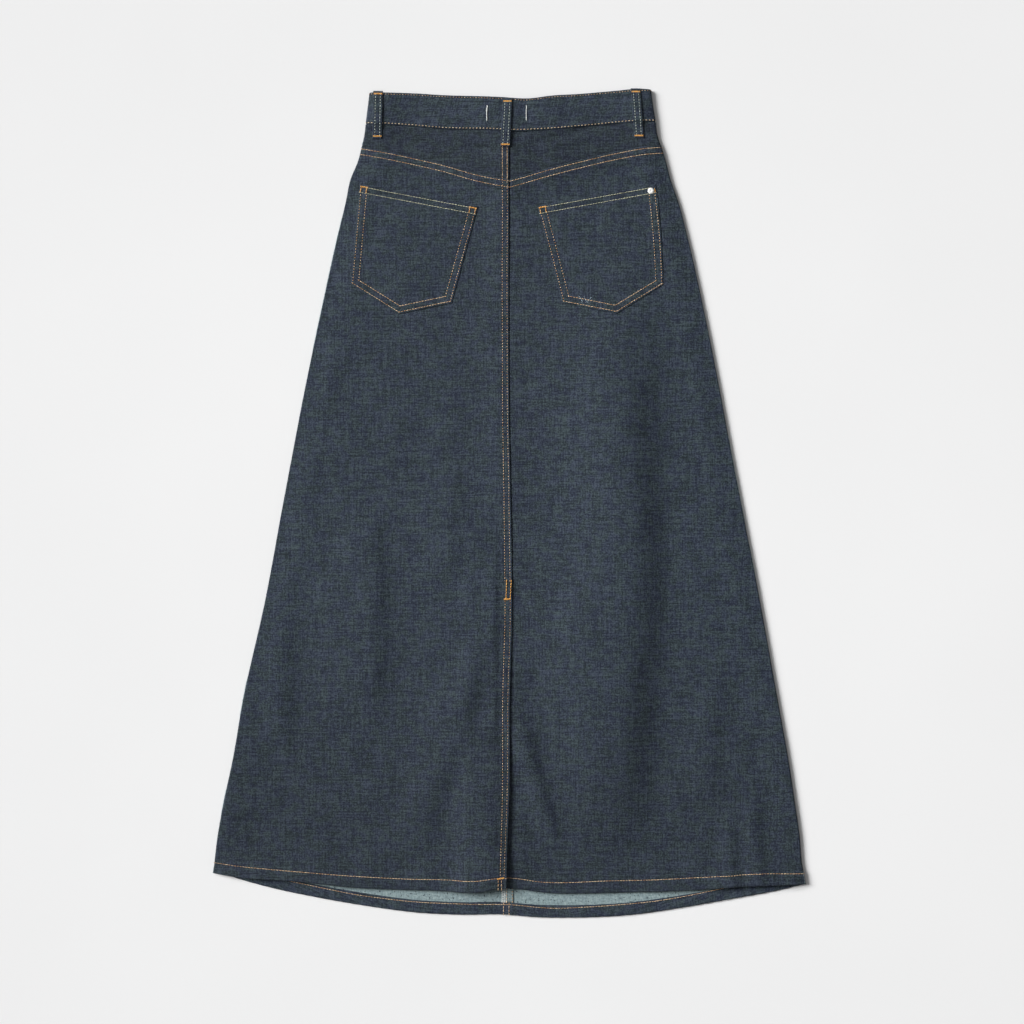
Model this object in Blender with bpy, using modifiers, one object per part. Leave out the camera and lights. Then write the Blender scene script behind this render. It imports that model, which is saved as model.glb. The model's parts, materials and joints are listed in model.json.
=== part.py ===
"""A long A-line skirt in rigid denim, laid flat with its back upwards.

The front panels lie on the surface, the back panels lie on them, and the cloth turns over in a
round fold along each side, where the side seam runs. The tables and sizes are in millimetres.
X runs from the wearer's left to the wearer's right, Y from the hem to the waist, and Z up from
the surface that the skirt lies on.
"""

import math
from collections import namedtuple

import bmesh
import bpy
from mathutils import Vector

MM = 0.001

# Cloth, and the gap that is left wherever two pieces are sewn or rest on each other.
PANEL = 1.2
SEWN_ON = 1.0
BAND = 1.5
GAP = 0.3

# The side folds: two quarter turns of the cloth, one above the other.
FOLD_RADIUS = 2.6
SIDE_TOP = 6.2
SIDE_SEAM = SIDE_TOP / 2
SIDE_FALL = 60.0
INSET = 8.0  # bands on the inside stop this far from the side fold

# The back's outer side, and how much the layers beneath lift it.
BACK_TOP = 3.2
MOST_RISE = SIDE_TOP - BACK_TOP
CENTRE_RISE = 0.9
HEM_RISE = 1.3
HEM_OVER_HEM_RISE = 0.85
HEM_DEPTH = 13.5
BAND_STEP = 1.0  # the waistband stands this much above the yoke

# The back vent: below its top the left panel lies over the right panel's underlap.
UNDERLAP = 36.0
PANEL_ROWS = 25
VENT_ROW = 10  # the underlap reaches up to this row of the panels
VENT_TOP = -100.0

# The lapped closure at the centre front.
BUTTON_X, BUTTON_Y = 14.0, 426.0
BUTTON_RADIUS = 8.5
BUTTON_THICK = 1.4
BUTTON_LIFT = BUTTON_THICK + GAP
LAP_END = 30.0
LAP_GAP = 0.35
LAP_DOME = 3.3

# The centre-front seam and its allowance, which is pressed to the left.
FRONT_CENTRE = 4.6
ALLOWANCE_WIDTH = 13.5

LOOP_WIDTH = 11.1
LOOP_ARCH = 1.2
RIVET_RADIUS = 3.6
RIVET_THICK = 1.0

# Where the left and right side folds are at each height.
Side = namedtuple("Side", "y left right")
SIDES = [
    Side(*row)
    for row in (
        (-434.9, -338.0, 338.0),
        (-422.4, -338.0, 335.9),
        (-410.0, -336.7, 333.7),
        (-384.2, -333.8, 331.6),
        (-338.6, -325.6, 325.3),
        (-293.0, -316.0, 318.4),
        (-224.6, -304.1, 306.1),
        (-110.6, -278.8, 285.6),
        (3.4, -257.7, 263.5),
        (60.0, -247.0, 252.6),
        (117.4, -236.1, 242.1),
        (231.4, -212.2, 219.4),
        (299.8, -197.2, 204.1),
        (345.4, -186.5, 192.1),
        (368.2, -181.8, 184.1),
        (391.0, -172.7, 178.2),
        (404.0, -169.2, 174.2),
        (418.4, -165.9, 169.1),
        (436.6, -163.7, 166.6),
        (455.0, -161.4, 163.6),
        (472.5, -159.3, 161.5),
    )
]

# Edges and seams that run across the skirt, as (x, y) from left to right.
BACK_TOP_EDGE = (
    (-159.3, 468.2),
    (-108.9, 467.2),
    (-72.4, 464.9),
    (-35.9, 463.8),
    (-8.6, 462.6),
    (23.4, 461.1),
    (46.2, 464.1),
    (82.7, 466.6),
    (119.1, 469.9),
    (151.1, 472.2),
    (162.5, 471.6),
)
BACK_WAIST_SEAM = (
    (-163.5, 431.8),
    (-120.3, 430.1),
    (-75.8, 426.2),
    (-10.8, 424.3),
    (2.9, 423.5),
    (41.6, 424.9),
    (94.0, 429.6),
    (139.7, 434.0),
    (169.0, 434.8),
)
YOKE_SEAM = (
    (-171.0, 406.5),
    (-134.3, 399.7),
    (-75.5, 386.6),
    (-36.1, 375.5),
    (-10.0, 370.2),
    (-0.6, 369.0),
    (6.0, 370.6),
    (41.5, 380.8),
    (80.8, 391.1),
    (120.0, 400.4),
    (152.8, 406.3),
    (174.0, 408.2),
)
BACK_HEM = (
    (-338.0, -422.4),
    (-313.0, -426.4),
    (-238.8, -432.1),
    (-175.0, -438.9),
    (-129.4, -441.2),
    (-83.8, -442.3),
    (-38.2, -443.5),
    (-10.8, -439.2),
    (7.4, -440.0),
    (34.8, -443.9),
    (121.4, -444.6),
    (212.6, -441.2),
    (262.8, -437.8),
    (338.0, -434.9),
)
FRONT_HEM = (
    (-338.0, -422.4),
    (-325.5, -424.5),
    (-300.0, -432.0),
    (-270.8, -439.6),
    (-216.0, -451.0),
    (-161.3, -460.4),
    (-106.6, -467.5),
    (-51.9, -470.1),
    (-10.8, -469.7),
    (30.2, -472.9),
    (74.0, -473.4),
    (139.7, -470.1),
    (194.4, -462.4),
    (249.1, -452.8),
    (303.8, -442.8),
    (338.0, -434.9),
)
FRONT_TOP_EDGE = (
    (-159.3, 468.2),
    (-90.0, 454.0),
    (0.0, 444.0),
    (90.0, 456.0),
    (162.5, 471.6),
)
FRONT_WAIST_SEAM = (
    (-163.5, 431.8),
    (-90.0, 418.0),
    (0.0, 408.0),
    (90.0, 420.0),
    (169.0, 434.8),
)

# The centre-back seam and the vent's edge below it, as (y, x).
BACK_CENTRE = (
    (-440.0, -3.2),
    (-414.0, -2.8),
    (-334.0, 0.0),
    (-224.6, 0.4),
    (-139.0, 2.8),
    (-65.0, 2.5),
    (100.0, -0.5),
    (391.0, -0.7),
)

# The largest folds of the back, each a ridge along a line; left and right are how far it reaches.
Fold = namedtuple("Fold", "x_high y_high x_low y_low rise left right")
FOLDS = [
    Fold(*row)
    for row in (
        (142.0, 215.0, 126.0, -430.0, 2.5, 105.0, 42.0),
        (-24.0, -120.0, -98.0, -400.0, 0.9, 42.0, 36.0),
        (16.0, -190.0, 54.0, -425.0, 1.0, 28.0, 26.0),
        (-126.0, 10.0, -150.0, -330.0, 0.7, 60.0, 50.0),
    )
]

# A patch pocket's corners, from its mouth round its pointed bottom. bow swells its outer side.
Pocket = namedtuple("Pocket", "name left_top right_top right_low point left_low tip bow")
POCKETS = [
    Pocket("pocket_left", (-170.7, 363.9), (-35.7, 338.2), (-65.7, 228.0), (-126.5, 215.2),
           (-181.1, 249.3), 0.5, 0.0),
    Pocket("pocket_right", (31.6, 338.9), (166.9, 363.4), (174.9, 248.6), (122.4, 215.7),
           (60.2, 228.1), 0.5, 1.7),
]  # fmt: skip

# The middle of each belt loop's top and bottom end.
Loop = namedtuple("Loop", "name x_high y_high x_low y_low")
LOOPS = [
    Loop("belt_loop_left", -149.7, 469.4, -150.7, 415.1),
    Loop("belt_loop_centre", -2.1, 461.0, -4.9, 406.0),
    Loop("belt_loop_right", 143.6, 472.3, 147.7, 416.4),
]

RIVET_X, RIVET_Y = 161.1, 355.8


def curve_through(points):
    """A smooth function through a table of (place, value), as a Hermite spline."""
    places = [p[0] for p in points]
    values = [p[1] for p in points]
    steps = [b - a for a, b in zip(places, places[1:])]
    rates = [(b - a) / step for a, b, step in zip(values, values[1:], steps)]
    inner = [
        (after * a + before * b) / (before + after)
        for before, after, a, b in zip(steps, steps[1:], rates, rates[1:])
    ]
    slopes = [rates[0], *inner, rates[-1]]

    def value_at(place):
        if place <= places[0]:
            return values[0] + slopes[0] * (place - places[0])
        if place >= places[-1]:
            return values[-1] + slopes[-1] * (place - places[-1])
        i = max(k for k in range(len(steps)) if places[k] <= place)
        t = (place - places[i]) / steps[i]
        return (
            (2 * t**3 - 3 * t**2 + 1) * values[i]
            + (t**3 - 2 * t**2 + t) * steps[i] * slopes[i]
            + (3 * t**2 - 2 * t**3) * values[i + 1]
            + (t**3 - t**2) * steps[i] * slopes[i + 1]
        )

    return value_at


left_side = curve_through([(s.y, s.left) for s in SIDES])
right_side = curve_through([(s.y, s.right) for s in SIDES])
back_top_edge = curve_through(BACK_TOP_EDGE)
back_waist_seam = curve_through(BACK_WAIST_SEAM)
yoke_seam = curve_through(YOKE_SEAM)
back_hem = curve_through(BACK_HEM)
back_centre = curve_through(BACK_CENTRE)
front_top_edge = curve_through(FRONT_TOP_EDGE)
front_waist_seam = curve_through(FRONT_WAIST_SEAM)
front_hem = curve_through(FRONT_HEM)


def front_centre(y):
    return FRONT_CENTRE


def ramp(value, start, end):
    """0 at start, 1 at end, with a smooth rise between them."""
    t = min(max((value - start) / (end - start), 0.0), 1.0)
    return t * t * (3 - 2 * t)


def together(rises):
    """Joins rises that overlap, without passing MOST_RISE."""
    left_over = 1.0
    for rise in rises:
        left_over *= 1 - rise / MOST_RISE
    return MOST_RISE * (1 - left_over)


def side_rise(x, y):
    """The stiff side fold holds the back up beside it."""
    inset = min(x - left_side(y), right_side(y) - x)
    return MOST_RISE * ramp(inset, SIDE_FALL, FOLD_RADIUS)


def stack_rise(x, y):
    """What the seam allowance and the turned-up hems beneath the back add to it."""
    centre = CENTRE_RISE * ramp(abs(x - (FRONT_CENTRE - ALLOWANCE_WIDTH / 2)), 42.0, 10.0)
    centre *= ramp(y, 425.0, 385.0)
    over_hem = ramp(y - back_hem(x), 55.0, HEM_DEPTH + 4.0)
    hem = HEM_RISE + HEM_OVER_HEM_RISE * ramp(abs(x), 130.0, 175.0)
    return centre + hem * over_hem


def fold_rise(x, y):
    """The ridges of the FOLDS table, which die out before the side folds."""
    inset = min(x - left_side(y), right_side(y) - x)
    total = 0.0
    for fold in FOLDS:
        run = Vector((fold.x_low - fold.x_high, fold.y_low - fold.y_high))
        offset = Vector((x - fold.x_high, y - fold.y_high))
        along = offset.dot(run) / run.length_squared
        across = (offset.y * run.x - offset.x * run.y) / run.length
        reach = fold.right if across > 0 else fold.left
        ends = ramp(along, -0.05, 0.25) * ramp(along, 1.05, 0.8)
        total += fold.rise * ends * ramp(abs(across), reach, 0.0)
    return total * ramp(inset, 8.0, 40.0)


def lap_dome(x, y):
    """The button and the lapped waistband ends lift whatever lies over them."""
    return LAP_DOME * ramp(math.hypot(x - BUTTON_X, y - BUTTON_Y), 85.0, 16.0)


def back_height(x, y):
    """The outer side of the back, without the vent's lift."""
    rises = (side_rise(x, y), stack_rise(x, y), fold_rise(x, y))
    return BACK_TOP + together(rises) + lap_dome(x, y)


def vent_lift(x, y):
    """The left panel rises over the underlap, and over its own hem too at the bottom."""
    inner = back_centre(y) - UNDERLAP
    layers = PANEL + GAP + 0.15
    layers += (SEWN_ON + GAP) * ramp(y - back_hem(x), 50.0, HEM_DEPTH + 4.0)
    return layers * ramp(x, inner - 30.0, inner - 8.0) * ramp(y, VENT_TOP + 30.0, VENT_TOP)


def left_back_height(x, y):
    return back_height(x, y) + vent_lift(x, y)


def band_height(x, y):
    """The outer side of the waistband's back half."""
    share = 1 - side_rise(x, y) / MOST_RISE
    return back_height(x, y) + BAND_STEP * share


def front_lift(x, y):
    """The cloth of the front leaves the surface only where the button lies under it."""
    return BUTTON_LIFT * ramp(math.hypot(x - BUTTON_X, y - BUTTON_Y), 62.0, 10.0)


def over(height, x, y, reach=6.0):
    """The highest point of what lies under a sewn-on piece, within reach."""
    offsets = (-reach, 0.0, reach)
    return max(height(x + dx, y + dy) for dx in offsets for dy in offsets)


def material(name, hex_colour, roughness, metallic=0.0):
    """A Principled BSDF from an sRGB colour."""
    channels = [int(hex_colour[i : i + 2], 16) / 255 for i in (1, 3, 5)]
    linear = [c / 12.92 if c <= 0.04045 else ((c + 0.055) / 1.055) ** 2.4 for c in channels]
    made = bpy.data.materials.new(name)
    made.use_nodes = True
    shader = made.node_tree.nodes["Principled BSDF"]
    shader.inputs["Base Color"].default_value = (*linear, 1.0)
    shader.inputs["Roughness"].default_value = roughness
    shader.inputs["Metallic"].default_value = metallic
    return made


def show(name, mesh, finish):
    """Puts a mesh in the skirt's collection as one named object."""
    made = bpy.data.objects.new(name, mesh)
    made.data.materials.append(finish)
    bpy.data.collections["denim_skirt"].objects.link(made)
    return made


def cloth(name, across, along, place, wall, finish, outwards=False, keep=None):
    """A flat grid bent into a sheet by place(across, along), then thickened.

    The grid is the piece's outer side, and the wall grows inwards from it. A front piece's grid
    faces inwards instead, so its wall grows along its normals.
    """
    columns, rows = len(across) - 1, len(along) - 1
    grid = bmesh.new()
    bmesh.ops.create_grid(grid, x_segments=columns, y_segments=rows, size=0.5)
    if keep:
        centres = [(face, face.calc_center_median()) for face in grid.faces]
        doomed = [
            face
            for face, at in centres
            if not keep(int((at.x + 0.5) * columns), int((at.y + 0.5) * rows))
        ]
        bmesh.ops.delete(grid, geom=doomed, context="FACES")
    for vertex in grid.verts:
        column = round((vertex.co.x + 0.5) * columns)
        row = round((vertex.co.y + 0.5) * rows)
        vertex.co = Vector(place(across[column], along[row])) * MM
    mesh = bpy.data.meshes.new(name)
    grid.to_mesh(mesh)
    grid.free()
    mesh.shade_smooth()
    made = show(name, mesh, finish)
    thicken = made.modifiers.new("wall", "SOLIDIFY")
    thicken.thickness = wall * MM
    thicken.offset = 1.0 if outwards else -1.0
    thicken.use_even_offset = True
    thicken.use_quality_normals = True
    return made


# A station says where a column of a sheet's grid is: on the side fold, a set distance in from
# it, a share of the way from there to the centre seam, or out under the other panel.
def fold_stations(step=30):
    return [("seam", 0)] + [("turn", angle) for angle in range(0, 91, step)] + [("inset", INSET)]


def share_stations(count):
    return [("share", k / count) for k in range(1, count + 1)]


def station_x(station, y, side, inwards, centre):
    """The X of a station at height y; inwards is +1 on the left side and -1 on the right."""
    kind, value = station
    edge = side(y)
    if kind == "under":
        return centre(y) - value
    if kind == "share":
        start = edge + inwards * INSET
        end = centre(y) - inwards * GAP / 2
        return start + (end - start) * value
    if kind == "inset":
        return edge + inwards * value
    return edge + inwards * FOLD_RADIUS * (1 - math.cos(math.radians(value)))


def row_y(row, x, bottom, top):
    """The Y of a row: a set distance above the bottom edge, or a share of the rest."""
    kind, value = row
    low = bottom(x)
    if kind == "edge":
        return low + value
    return low + HEM_DEPTH + (top(x) - low - HEM_DEPTH) * value


def meet(station, row, side, inwards, centre, bottom, top):
    """Where a column and a row meet. Each depends a little on the other."""
    y = row_y(row, 0.0, bottom, top)
    for _ in range(6):
        x = station_x(station, y, side, inwards, centre)
        y = row_y(row, x, bottom, top)
    return x, y


def back_z(station, x, y, height):
    kind, value = station
    if kind == "seam":
        return SIDE_SEAM + GAP / 2
    if kind == "turn":
        return SIDE_TOP - FOLD_RADIUS * (1 - math.sin(math.radians(value)))
    return height(x, y)


def front_z(station, x, y):
    kind, value = station
    if kind == "seam":
        return SIDE_SEAM - GAP / 2
    if kind == "turn":
        return FOLD_RADIUS * (1 - math.sin(math.radians(value)))
    return front_lift(x, y)


HALVES = {"left": (left_side, 1), "right": (right_side, -1)}


def ordered(stations, half):
    """Columns always run from left to right, so that the grid's normals point up."""
    return stations if half == "left" else stations[::-1]


def build_back_panel(half, denim):
    side, inwards = HALVES[half]
    height = left_back_height if half == "left" else back_height
    across = ordered(fold_stations() + share_stations(17), half)
    keep = None
    if half == "right":
        across = [("under", UNDERLAP * k / 3) for k in (3, 2, 1)] + across

        def keep(column, row):
            return column > 2 or row < VENT_ROW + 1

    along = [("edge", 0.0)] + [("share", k / PANEL_ROWS) for k in range(PANEL_ROWS + 1)]

    def top(x):
        return yoke_seam(x) - GAP / 2

    def place(station, row):
        x, y = meet(station, row, side, inwards, back_centre, back_hem, top)
        return x, y, back_z(station, x, y, height)

    cloth(f"back_{half}", across, along, place, PANEL, denim, keep=keep)


def build_back_hem(half, denim):
    """The turned-up hem, under the panel it is turned up from."""
    side, inwards = HALVES[half]
    height = left_back_height if half == "left" else back_height
    across = ordered([("inset", INSET)] + share_stations(17), half)
    if half == "right":
        across = [("under", UNDERLAP * k / 3) for k in (3, 2, 1)] + across

    def place(station, row):
        x, y = meet(station, row, side, inwards, back_centre, back_hem, yoke_seam)
        return x, y, height(x, y) - PANEL - GAP

    rows = [("edge", 0.0), ("edge", HEM_DEPTH)]
    cloth(f"hem_back_{half}", across, rows, place, SEWN_ON, denim)


def build_yoke(half, denim):
    side, inwards = HALVES[half]
    across = ordered(fold_stations() + share_stations(11), half)

    def bottom(x):
        return yoke_seam(x) + GAP / 2

    def top(x):
        return back_waist_seam(x) - GAP / 2

    def place(station, share):
        y = back_waist_seam(0.0)
        for _ in range(6):
            x = station_x(station, y, side, inwards, back_centre)
            y = bottom(x) + (top(x) - bottom(x)) * share
        return x, y, back_z(station, x, y, back_height)

    cloth(f"yoke_{half}", across, [0, 1 / 3, 2 / 3, 1], place, PANEL, denim)


def build_front_panel(half, denim):
    side, inwards = HALVES[half]
    near_centre = [0.12, 0.24, 0.36, 0.48, 0.6, 0.72, 0.85, 0.925, 1.0]
    across = ordered(fold_stations() + [("share", s) for s in near_centre], half)
    near_top = [0.0, 0.08, 0.16, 0.24, 0.32, 0.4, 0.48, 0.56, 0.64, 0.72, 0.79, 0.85, 0.9, 0.935,
                0.95, 0.9625, 0.975, 0.9875, 1.0]  # fmt: skip
    along = [("edge", 0.0)] + [("share", s) for s in near_top]

    def top(x):
        return front_waist_seam(x) - GAP / 2

    def place(station, row):
        x, y = meet(station, row, side, inwards, front_centre, front_hem, top)
        return x, y, front_z(station, x, y)

    cloth(f"front_{half}", across, along, place, PANEL, denim, outwards=True)


def build_front_hem(half, denim):
    """The front's turned-up hem, which lies on the inside of the front panel."""
    side, inwards = HALVES[half]
    across = ordered([("inset", INSET)] + share_stations(12), half)

    def place(station, height_up):
        x, y = meet(station, ("edge", height_up), side, inwards, front_centre, front_hem, front_hem)
        return x, y, PANEL + GAP

    cloth(f"hem_front_{half}", across, [0.0, HEM_DEPTH], place, SEWN_ON, denim, outwards=True)


def build_front_allowance(denim):
    """The allowance of the centre-front seam, a strip along the inside of the front."""
    left = FRONT_CENTRE - ALLOWANCE_WIDTH
    low = front_hem(FRONT_CENTRE) + HEM_DEPTH + 2.5
    high = front_waist_seam(FRONT_CENTRE) - 3.0
    near_top = [0.0, 0.5, 0.8, 0.9, 0.935, 0.95, 0.9625, 0.975, 0.9875, 1.0]

    def place(x, share):
        y = low + (high - low) * share
        return x, y, front_lift(x, y) + PANEL + GAP

    across = [left, left + ALLOWANCE_WIDTH / 2, FRONT_CENTRE - GAP]
    cloth("front_seam_allowance", across, near_top, place, SEWN_ON, denim, outwards=True)


def build_waistband(denim):
    """One strip: from its lapped end at the centre front, round the left side, across the
    back, round the right side and back to the centre front, under the lapped end."""
    outer_end = (LAP_END, 24.0, 14.0, 4.0, -10.0, -24.0, -40.0, -60.0, -85.0, -120.0)
    inner_end = (120.0, 92.0, 76.0, 62.0, 48.0, 36.0, 24.0, 14.0, 4.0, 0.0)
    quarter = (0, 30, 60, 90)
    loop = [("front outer", x) for x in outer_end] + [("left front", INSET)]
    loop += [("left lower", -angle) for angle in reversed(quarter)]
    loop += [("left upper", angle) for angle in quarter]
    loop += [("back", k / 24) for k in range(25)]
    loop += [("right upper", angle) for angle in reversed(quarter)]
    loop += [("right lower", -angle) for angle in quarter]
    loop += [("right front", INSET)] + [("front inner", x) for x in inner_end]

    def x_at(where, value, y):
        if where.startswith("front"):
            return value
        if where == "back":
            start, end = left_side(y) + INSET, right_side(y) - INSET
            return start + (end - start) * value
        side, inwards = HALVES[where.split()[0]]
        if where.endswith("front"):
            return side(y) + inwards * value
        return side(y) + inwards * FOLD_RADIUS * (1 - math.cos(math.radians(value)))

    def place(station, share):
        where, value = station
        on_front = "front" in where
        seam, edge = (front_waist_seam, front_top_edge) if on_front else (back_waist_seam, back_top_edge)
        y = seam(0.0)
        for _ in range(6):
            x = x_at(where, value, y)
            low = seam(x) + GAP / 2
            y = low + (edge(x) - low) * share
        if where == "front inner":
            return x, y, front_lift(x, y) + (BAND + LAP_GAP) * ramp(x, 75.0, LAP_END + 6.0)
        if on_front:
            return x, y, front_lift(x, y)
        if where == "back":
            return x, y, band_height(x, y)
        middle = SIDE_TOP - FOLD_RADIUS if where.endswith("upper") else FOLD_RADIUS
        return x, y, middle + FOLD_RADIUS * math.sin(math.radians(value))

    cloth("waistband", loop, [0.0, 0.33, 0.67, 1.0], place, BAND, denim)


def build_pocket(pocket, denim):
    """A patch with a pointed bottom, laid on the back panel and 0.3 mm off it."""
    corners = [Vector(c) for c in (pocket.left_low, pocket.point, pocket.right_low)]
    left_top, right_top = Vector(pocket.left_top), Vector(pocket.right_top)
    columns = [k / 8 for k in range(9)]
    rows = [k / 7 for k in range(8)]

    def place(share, up):
        if share <= pocket.tip:
            low = corners[0].lerp(corners[1], share / pocket.tip)
        else:
            low = corners[1].lerp(corners[2], (share - pocket.tip) / (1 - pocket.tip))
        at = low.lerp(left_top.lerp(right_top, share), up)
        at.x += pocket.bow * share * 4 * up * (1 - up)
        return at.x, at.y, over(back_height, at.x, at.y) + GAP + SEWN_ON

    cloth(pocket.name, columns, rows, place, SEWN_ON, denim)


def under_loop(x, y):
    on_band = y > back_waist_seam(x)
    return band_height(x, min(y, back_top_edge(x))) if on_band else back_height(x, y)


def build_belt_loop(loop, denim):
    """A strip sewn down at both ends, standing a little off the waistband between them."""
    high, low = Vector((loop.x_high, loop.y_high)), Vector((loop.x_low, loop.y_low))

    def place(share_across, up):
        at = low.lerp(high, up)
        x = at.x + LOOP_WIDTH * (share_across - 0.5)
        arch = LOOP_ARCH * ramp(min(up, 1 - up), 0.02, 0.3)
        return x, at.y, over(under_loop, at.x, at.y) + GAP + SEWN_ON + arch

    rows = [k / 12 for k in range(13)]
    cloth(loop.name, [0.0, 1.0], rows, place, SEWN_ON, denim)


def turned_disc(name, profile, at, normal, finish):
    """A profile of (radius, height) turned about its axis, then set on a surface."""
    outline = bmesh.new()
    points = [outline.verts.new((r * MM, 0.0, z * MM)) for r, z in profile]
    for a, b in zip(points, points[1:]):
        outline.edges.new((a, b))
    mesh = bpy.data.meshes.new(name)
    outline.to_mesh(mesh)
    outline.free()
    made = show(name, mesh, finish)
    turn = made.modifiers.new("turn", "SCREW")
    turn.steps = 24
    turn.render_steps = 24
    turn.use_merge_vertices = True
    turn.merge_threshold = 0.00001
    made.location = Vector(at) * MM
    made.rotation_mode = "QUATERNION"
    made.rotation_quaternion = Vector((0, 0, 1)).rotation_difference(Vector(normal))


def build_button(metal):
    thick, radius = BUTTON_THICK, BUTTON_RADIUS
    profile = [(0.0, thick), (radius - 0.6, thick), (radius, thick - 0.5), (radius, 0.4),
               (radius - 0.4, 0.0), (0.0, 0.0)]  # fmt: skip
    turned_disc("waist_button", profile, (BUTTON_X, BUTTON_Y, 0.0), (0, 0, 1), metal)


def build_rivet(metal):
    """A low domed rivet, square to the slope of the pocket under it."""
    step = 4.0
    x, y = RIVET_X, RIVET_Y
    slope_x = (back_height(x + step, y) - back_height(x - step, y)) / (2 * step)
    slope_y = (back_height(x, y + step) - back_height(x, y - step)) / (2 * step)
    seat = over(back_height, x, y) + 2 * GAP + SEWN_ON + 0.1
    thick, radius = RIVET_THICK, RIVET_RADIUS
    profile = [(0.0, thick), (radius * 0.5, thick * 0.9), (radius * 0.85, thick * 0.6),
               (radius, thick * 0.2), (radius, 0.0), (0.0, 0.0)]  # fmt: skip
    turned_disc("pocket_rivet", profile, (x, y, seat), (-slope_x, -slope_y, 1), metal)


def build_skirt():
    for old in list(bpy.data.objects):
        bpy.data.objects.remove(old)
    collection = bpy.data.collections.new("denim_skirt")
    bpy.context.scene.collection.children.link(collection)
    denim = material("rigid_denim", "#3B434B", 0.85)
    metal = material("white_enamelled_brass", "#DCDDD8", 0.35)
    nickel = material("nickel_button", "#A9A9A4", 0.35, 1.0)
    for half in ("left", "right"):
        build_front_panel(half, denim)
        build_front_hem(half, denim)
        build_back_hem(half, denim)
        build_back_panel(half, denim)
        build_yoke(half, denim)
    build_front_allowance(denim)
    build_waistband(denim)
    for pocket in POCKETS:
        build_pocket(pocket, denim)
    for loop in LOOPS:
        build_belt_loop(loop, denim)
    build_button(nickel)
    build_rivet(metal)


build_skirt()
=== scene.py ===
# %% [markdown]
# # A long denim skirt, laid flat with its back upwards
#
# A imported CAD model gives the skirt's pieces at their real size: panels, yokes, waistband, pockets,
# belt loops, rivet and button. This notebook dresses that model. Each solid piece of cloth gives way
# to a thin shell of denim with its creases, and the sewing that holds a pair of jeans together is
# added in thread. Nothing here moves or resizes the model: every shell keeps its solid's outline,
# and only its creases and folds stand a few millimetres away from the solid.
#
# The first cell loads the model. Its objects are in metres, with +X to the wearer's right, +Y from
# the hem to the waist and +Z up from the surface that the skirt lies on.

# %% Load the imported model
import json
import math
from collections import namedtuple

import bmesh
import bpy
import numpy as np
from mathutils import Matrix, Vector

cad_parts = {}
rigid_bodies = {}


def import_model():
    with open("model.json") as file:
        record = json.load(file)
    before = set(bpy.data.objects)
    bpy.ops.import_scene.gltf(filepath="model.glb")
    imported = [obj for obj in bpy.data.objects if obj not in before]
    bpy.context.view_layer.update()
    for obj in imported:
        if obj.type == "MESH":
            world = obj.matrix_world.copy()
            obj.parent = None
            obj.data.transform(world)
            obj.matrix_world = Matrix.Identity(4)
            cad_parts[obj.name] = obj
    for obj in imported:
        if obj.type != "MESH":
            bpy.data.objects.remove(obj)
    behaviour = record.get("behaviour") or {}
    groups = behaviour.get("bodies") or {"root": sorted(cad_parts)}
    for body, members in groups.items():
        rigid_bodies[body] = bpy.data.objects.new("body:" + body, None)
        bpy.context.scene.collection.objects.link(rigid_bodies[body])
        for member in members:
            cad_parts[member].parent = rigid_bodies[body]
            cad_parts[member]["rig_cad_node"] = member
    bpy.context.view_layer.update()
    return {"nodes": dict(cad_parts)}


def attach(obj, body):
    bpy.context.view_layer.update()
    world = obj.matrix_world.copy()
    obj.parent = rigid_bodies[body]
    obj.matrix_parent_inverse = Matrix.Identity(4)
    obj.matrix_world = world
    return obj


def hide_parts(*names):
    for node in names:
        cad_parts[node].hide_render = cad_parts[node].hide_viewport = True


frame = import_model()
print("pieces of the model:", sorted(frame["nodes"]))

# %% [markdown]
# ## What the cloth and the seams measure
#
# Denim for a skirt like this is about 0.7 mm thick, and every edge is made of two or three layers
# of it. It is worth writing those thicknesses down first, because they decide how far one piece
# stands above the next. All tables in this notebook are in millimetres, the unit that a pattern
# cutter works in, and are turned to metres only when a mesh is made.

# %% Thicknesses and widths, in millimetres
MM = 0.001
CLOTH = 0.7
FRONT_CLEAR = 0.35  # the front's own stitches lift it this far off the surface
FOLDED_EDGE = 0.75  # radius of the turn at a seam's folded edge, two layers thick
TURNED_IN = 8.5  # how much cloth is turned in there
HEM_TURN = 1.1  # radius of the turn at the hem, three layers thick
HEM_DEPTH = 15.0
HEM_STITCH = 12.6
FRONT_HEM_DEPTH = 13.0
LAP = 2 * FOLDED_EDGE + 0.05  # how far a lapped seam stands up
SEAM_WIDTH = 11.0
ROW_NEAR, ROW_FAR = 2.3, 8.9  # the two rows of a topstitched seam, from its folded edge
BAND_WALL = 1.5
UNDERLAP = 36.0
VENT_TOP = -100.0
STITCH = 3.22

SIDE_SEAM = 3.1  # height of the side seam, half way up the side fold
BACK_ROLL = 2.6  # radius of the back's side fold, where there is room for it
FRONT_ROLL = SIDE_SEAM - FRONT_CLEAR - 0.1
BACK_TOP = 3.2
FRONT_CENTRE = 4.6
ALLOWANCE_WIDTH = 13.5
print(f"a lapped seam stands {LAP:.2f} mm up, and a hem is {2 * HEM_TURN:.1f} mm thick")

# %% [markdown]
# ## The cut
#
# These are the skirt's outline and seams as it lies, each a short table of points that a smooth
# curve runs through. They are the driving dimensions of the CAD model, repeated here so that each
# shell keeps its solid's form. A cutter would call them the side seams, hems, yoke and waist.

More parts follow.
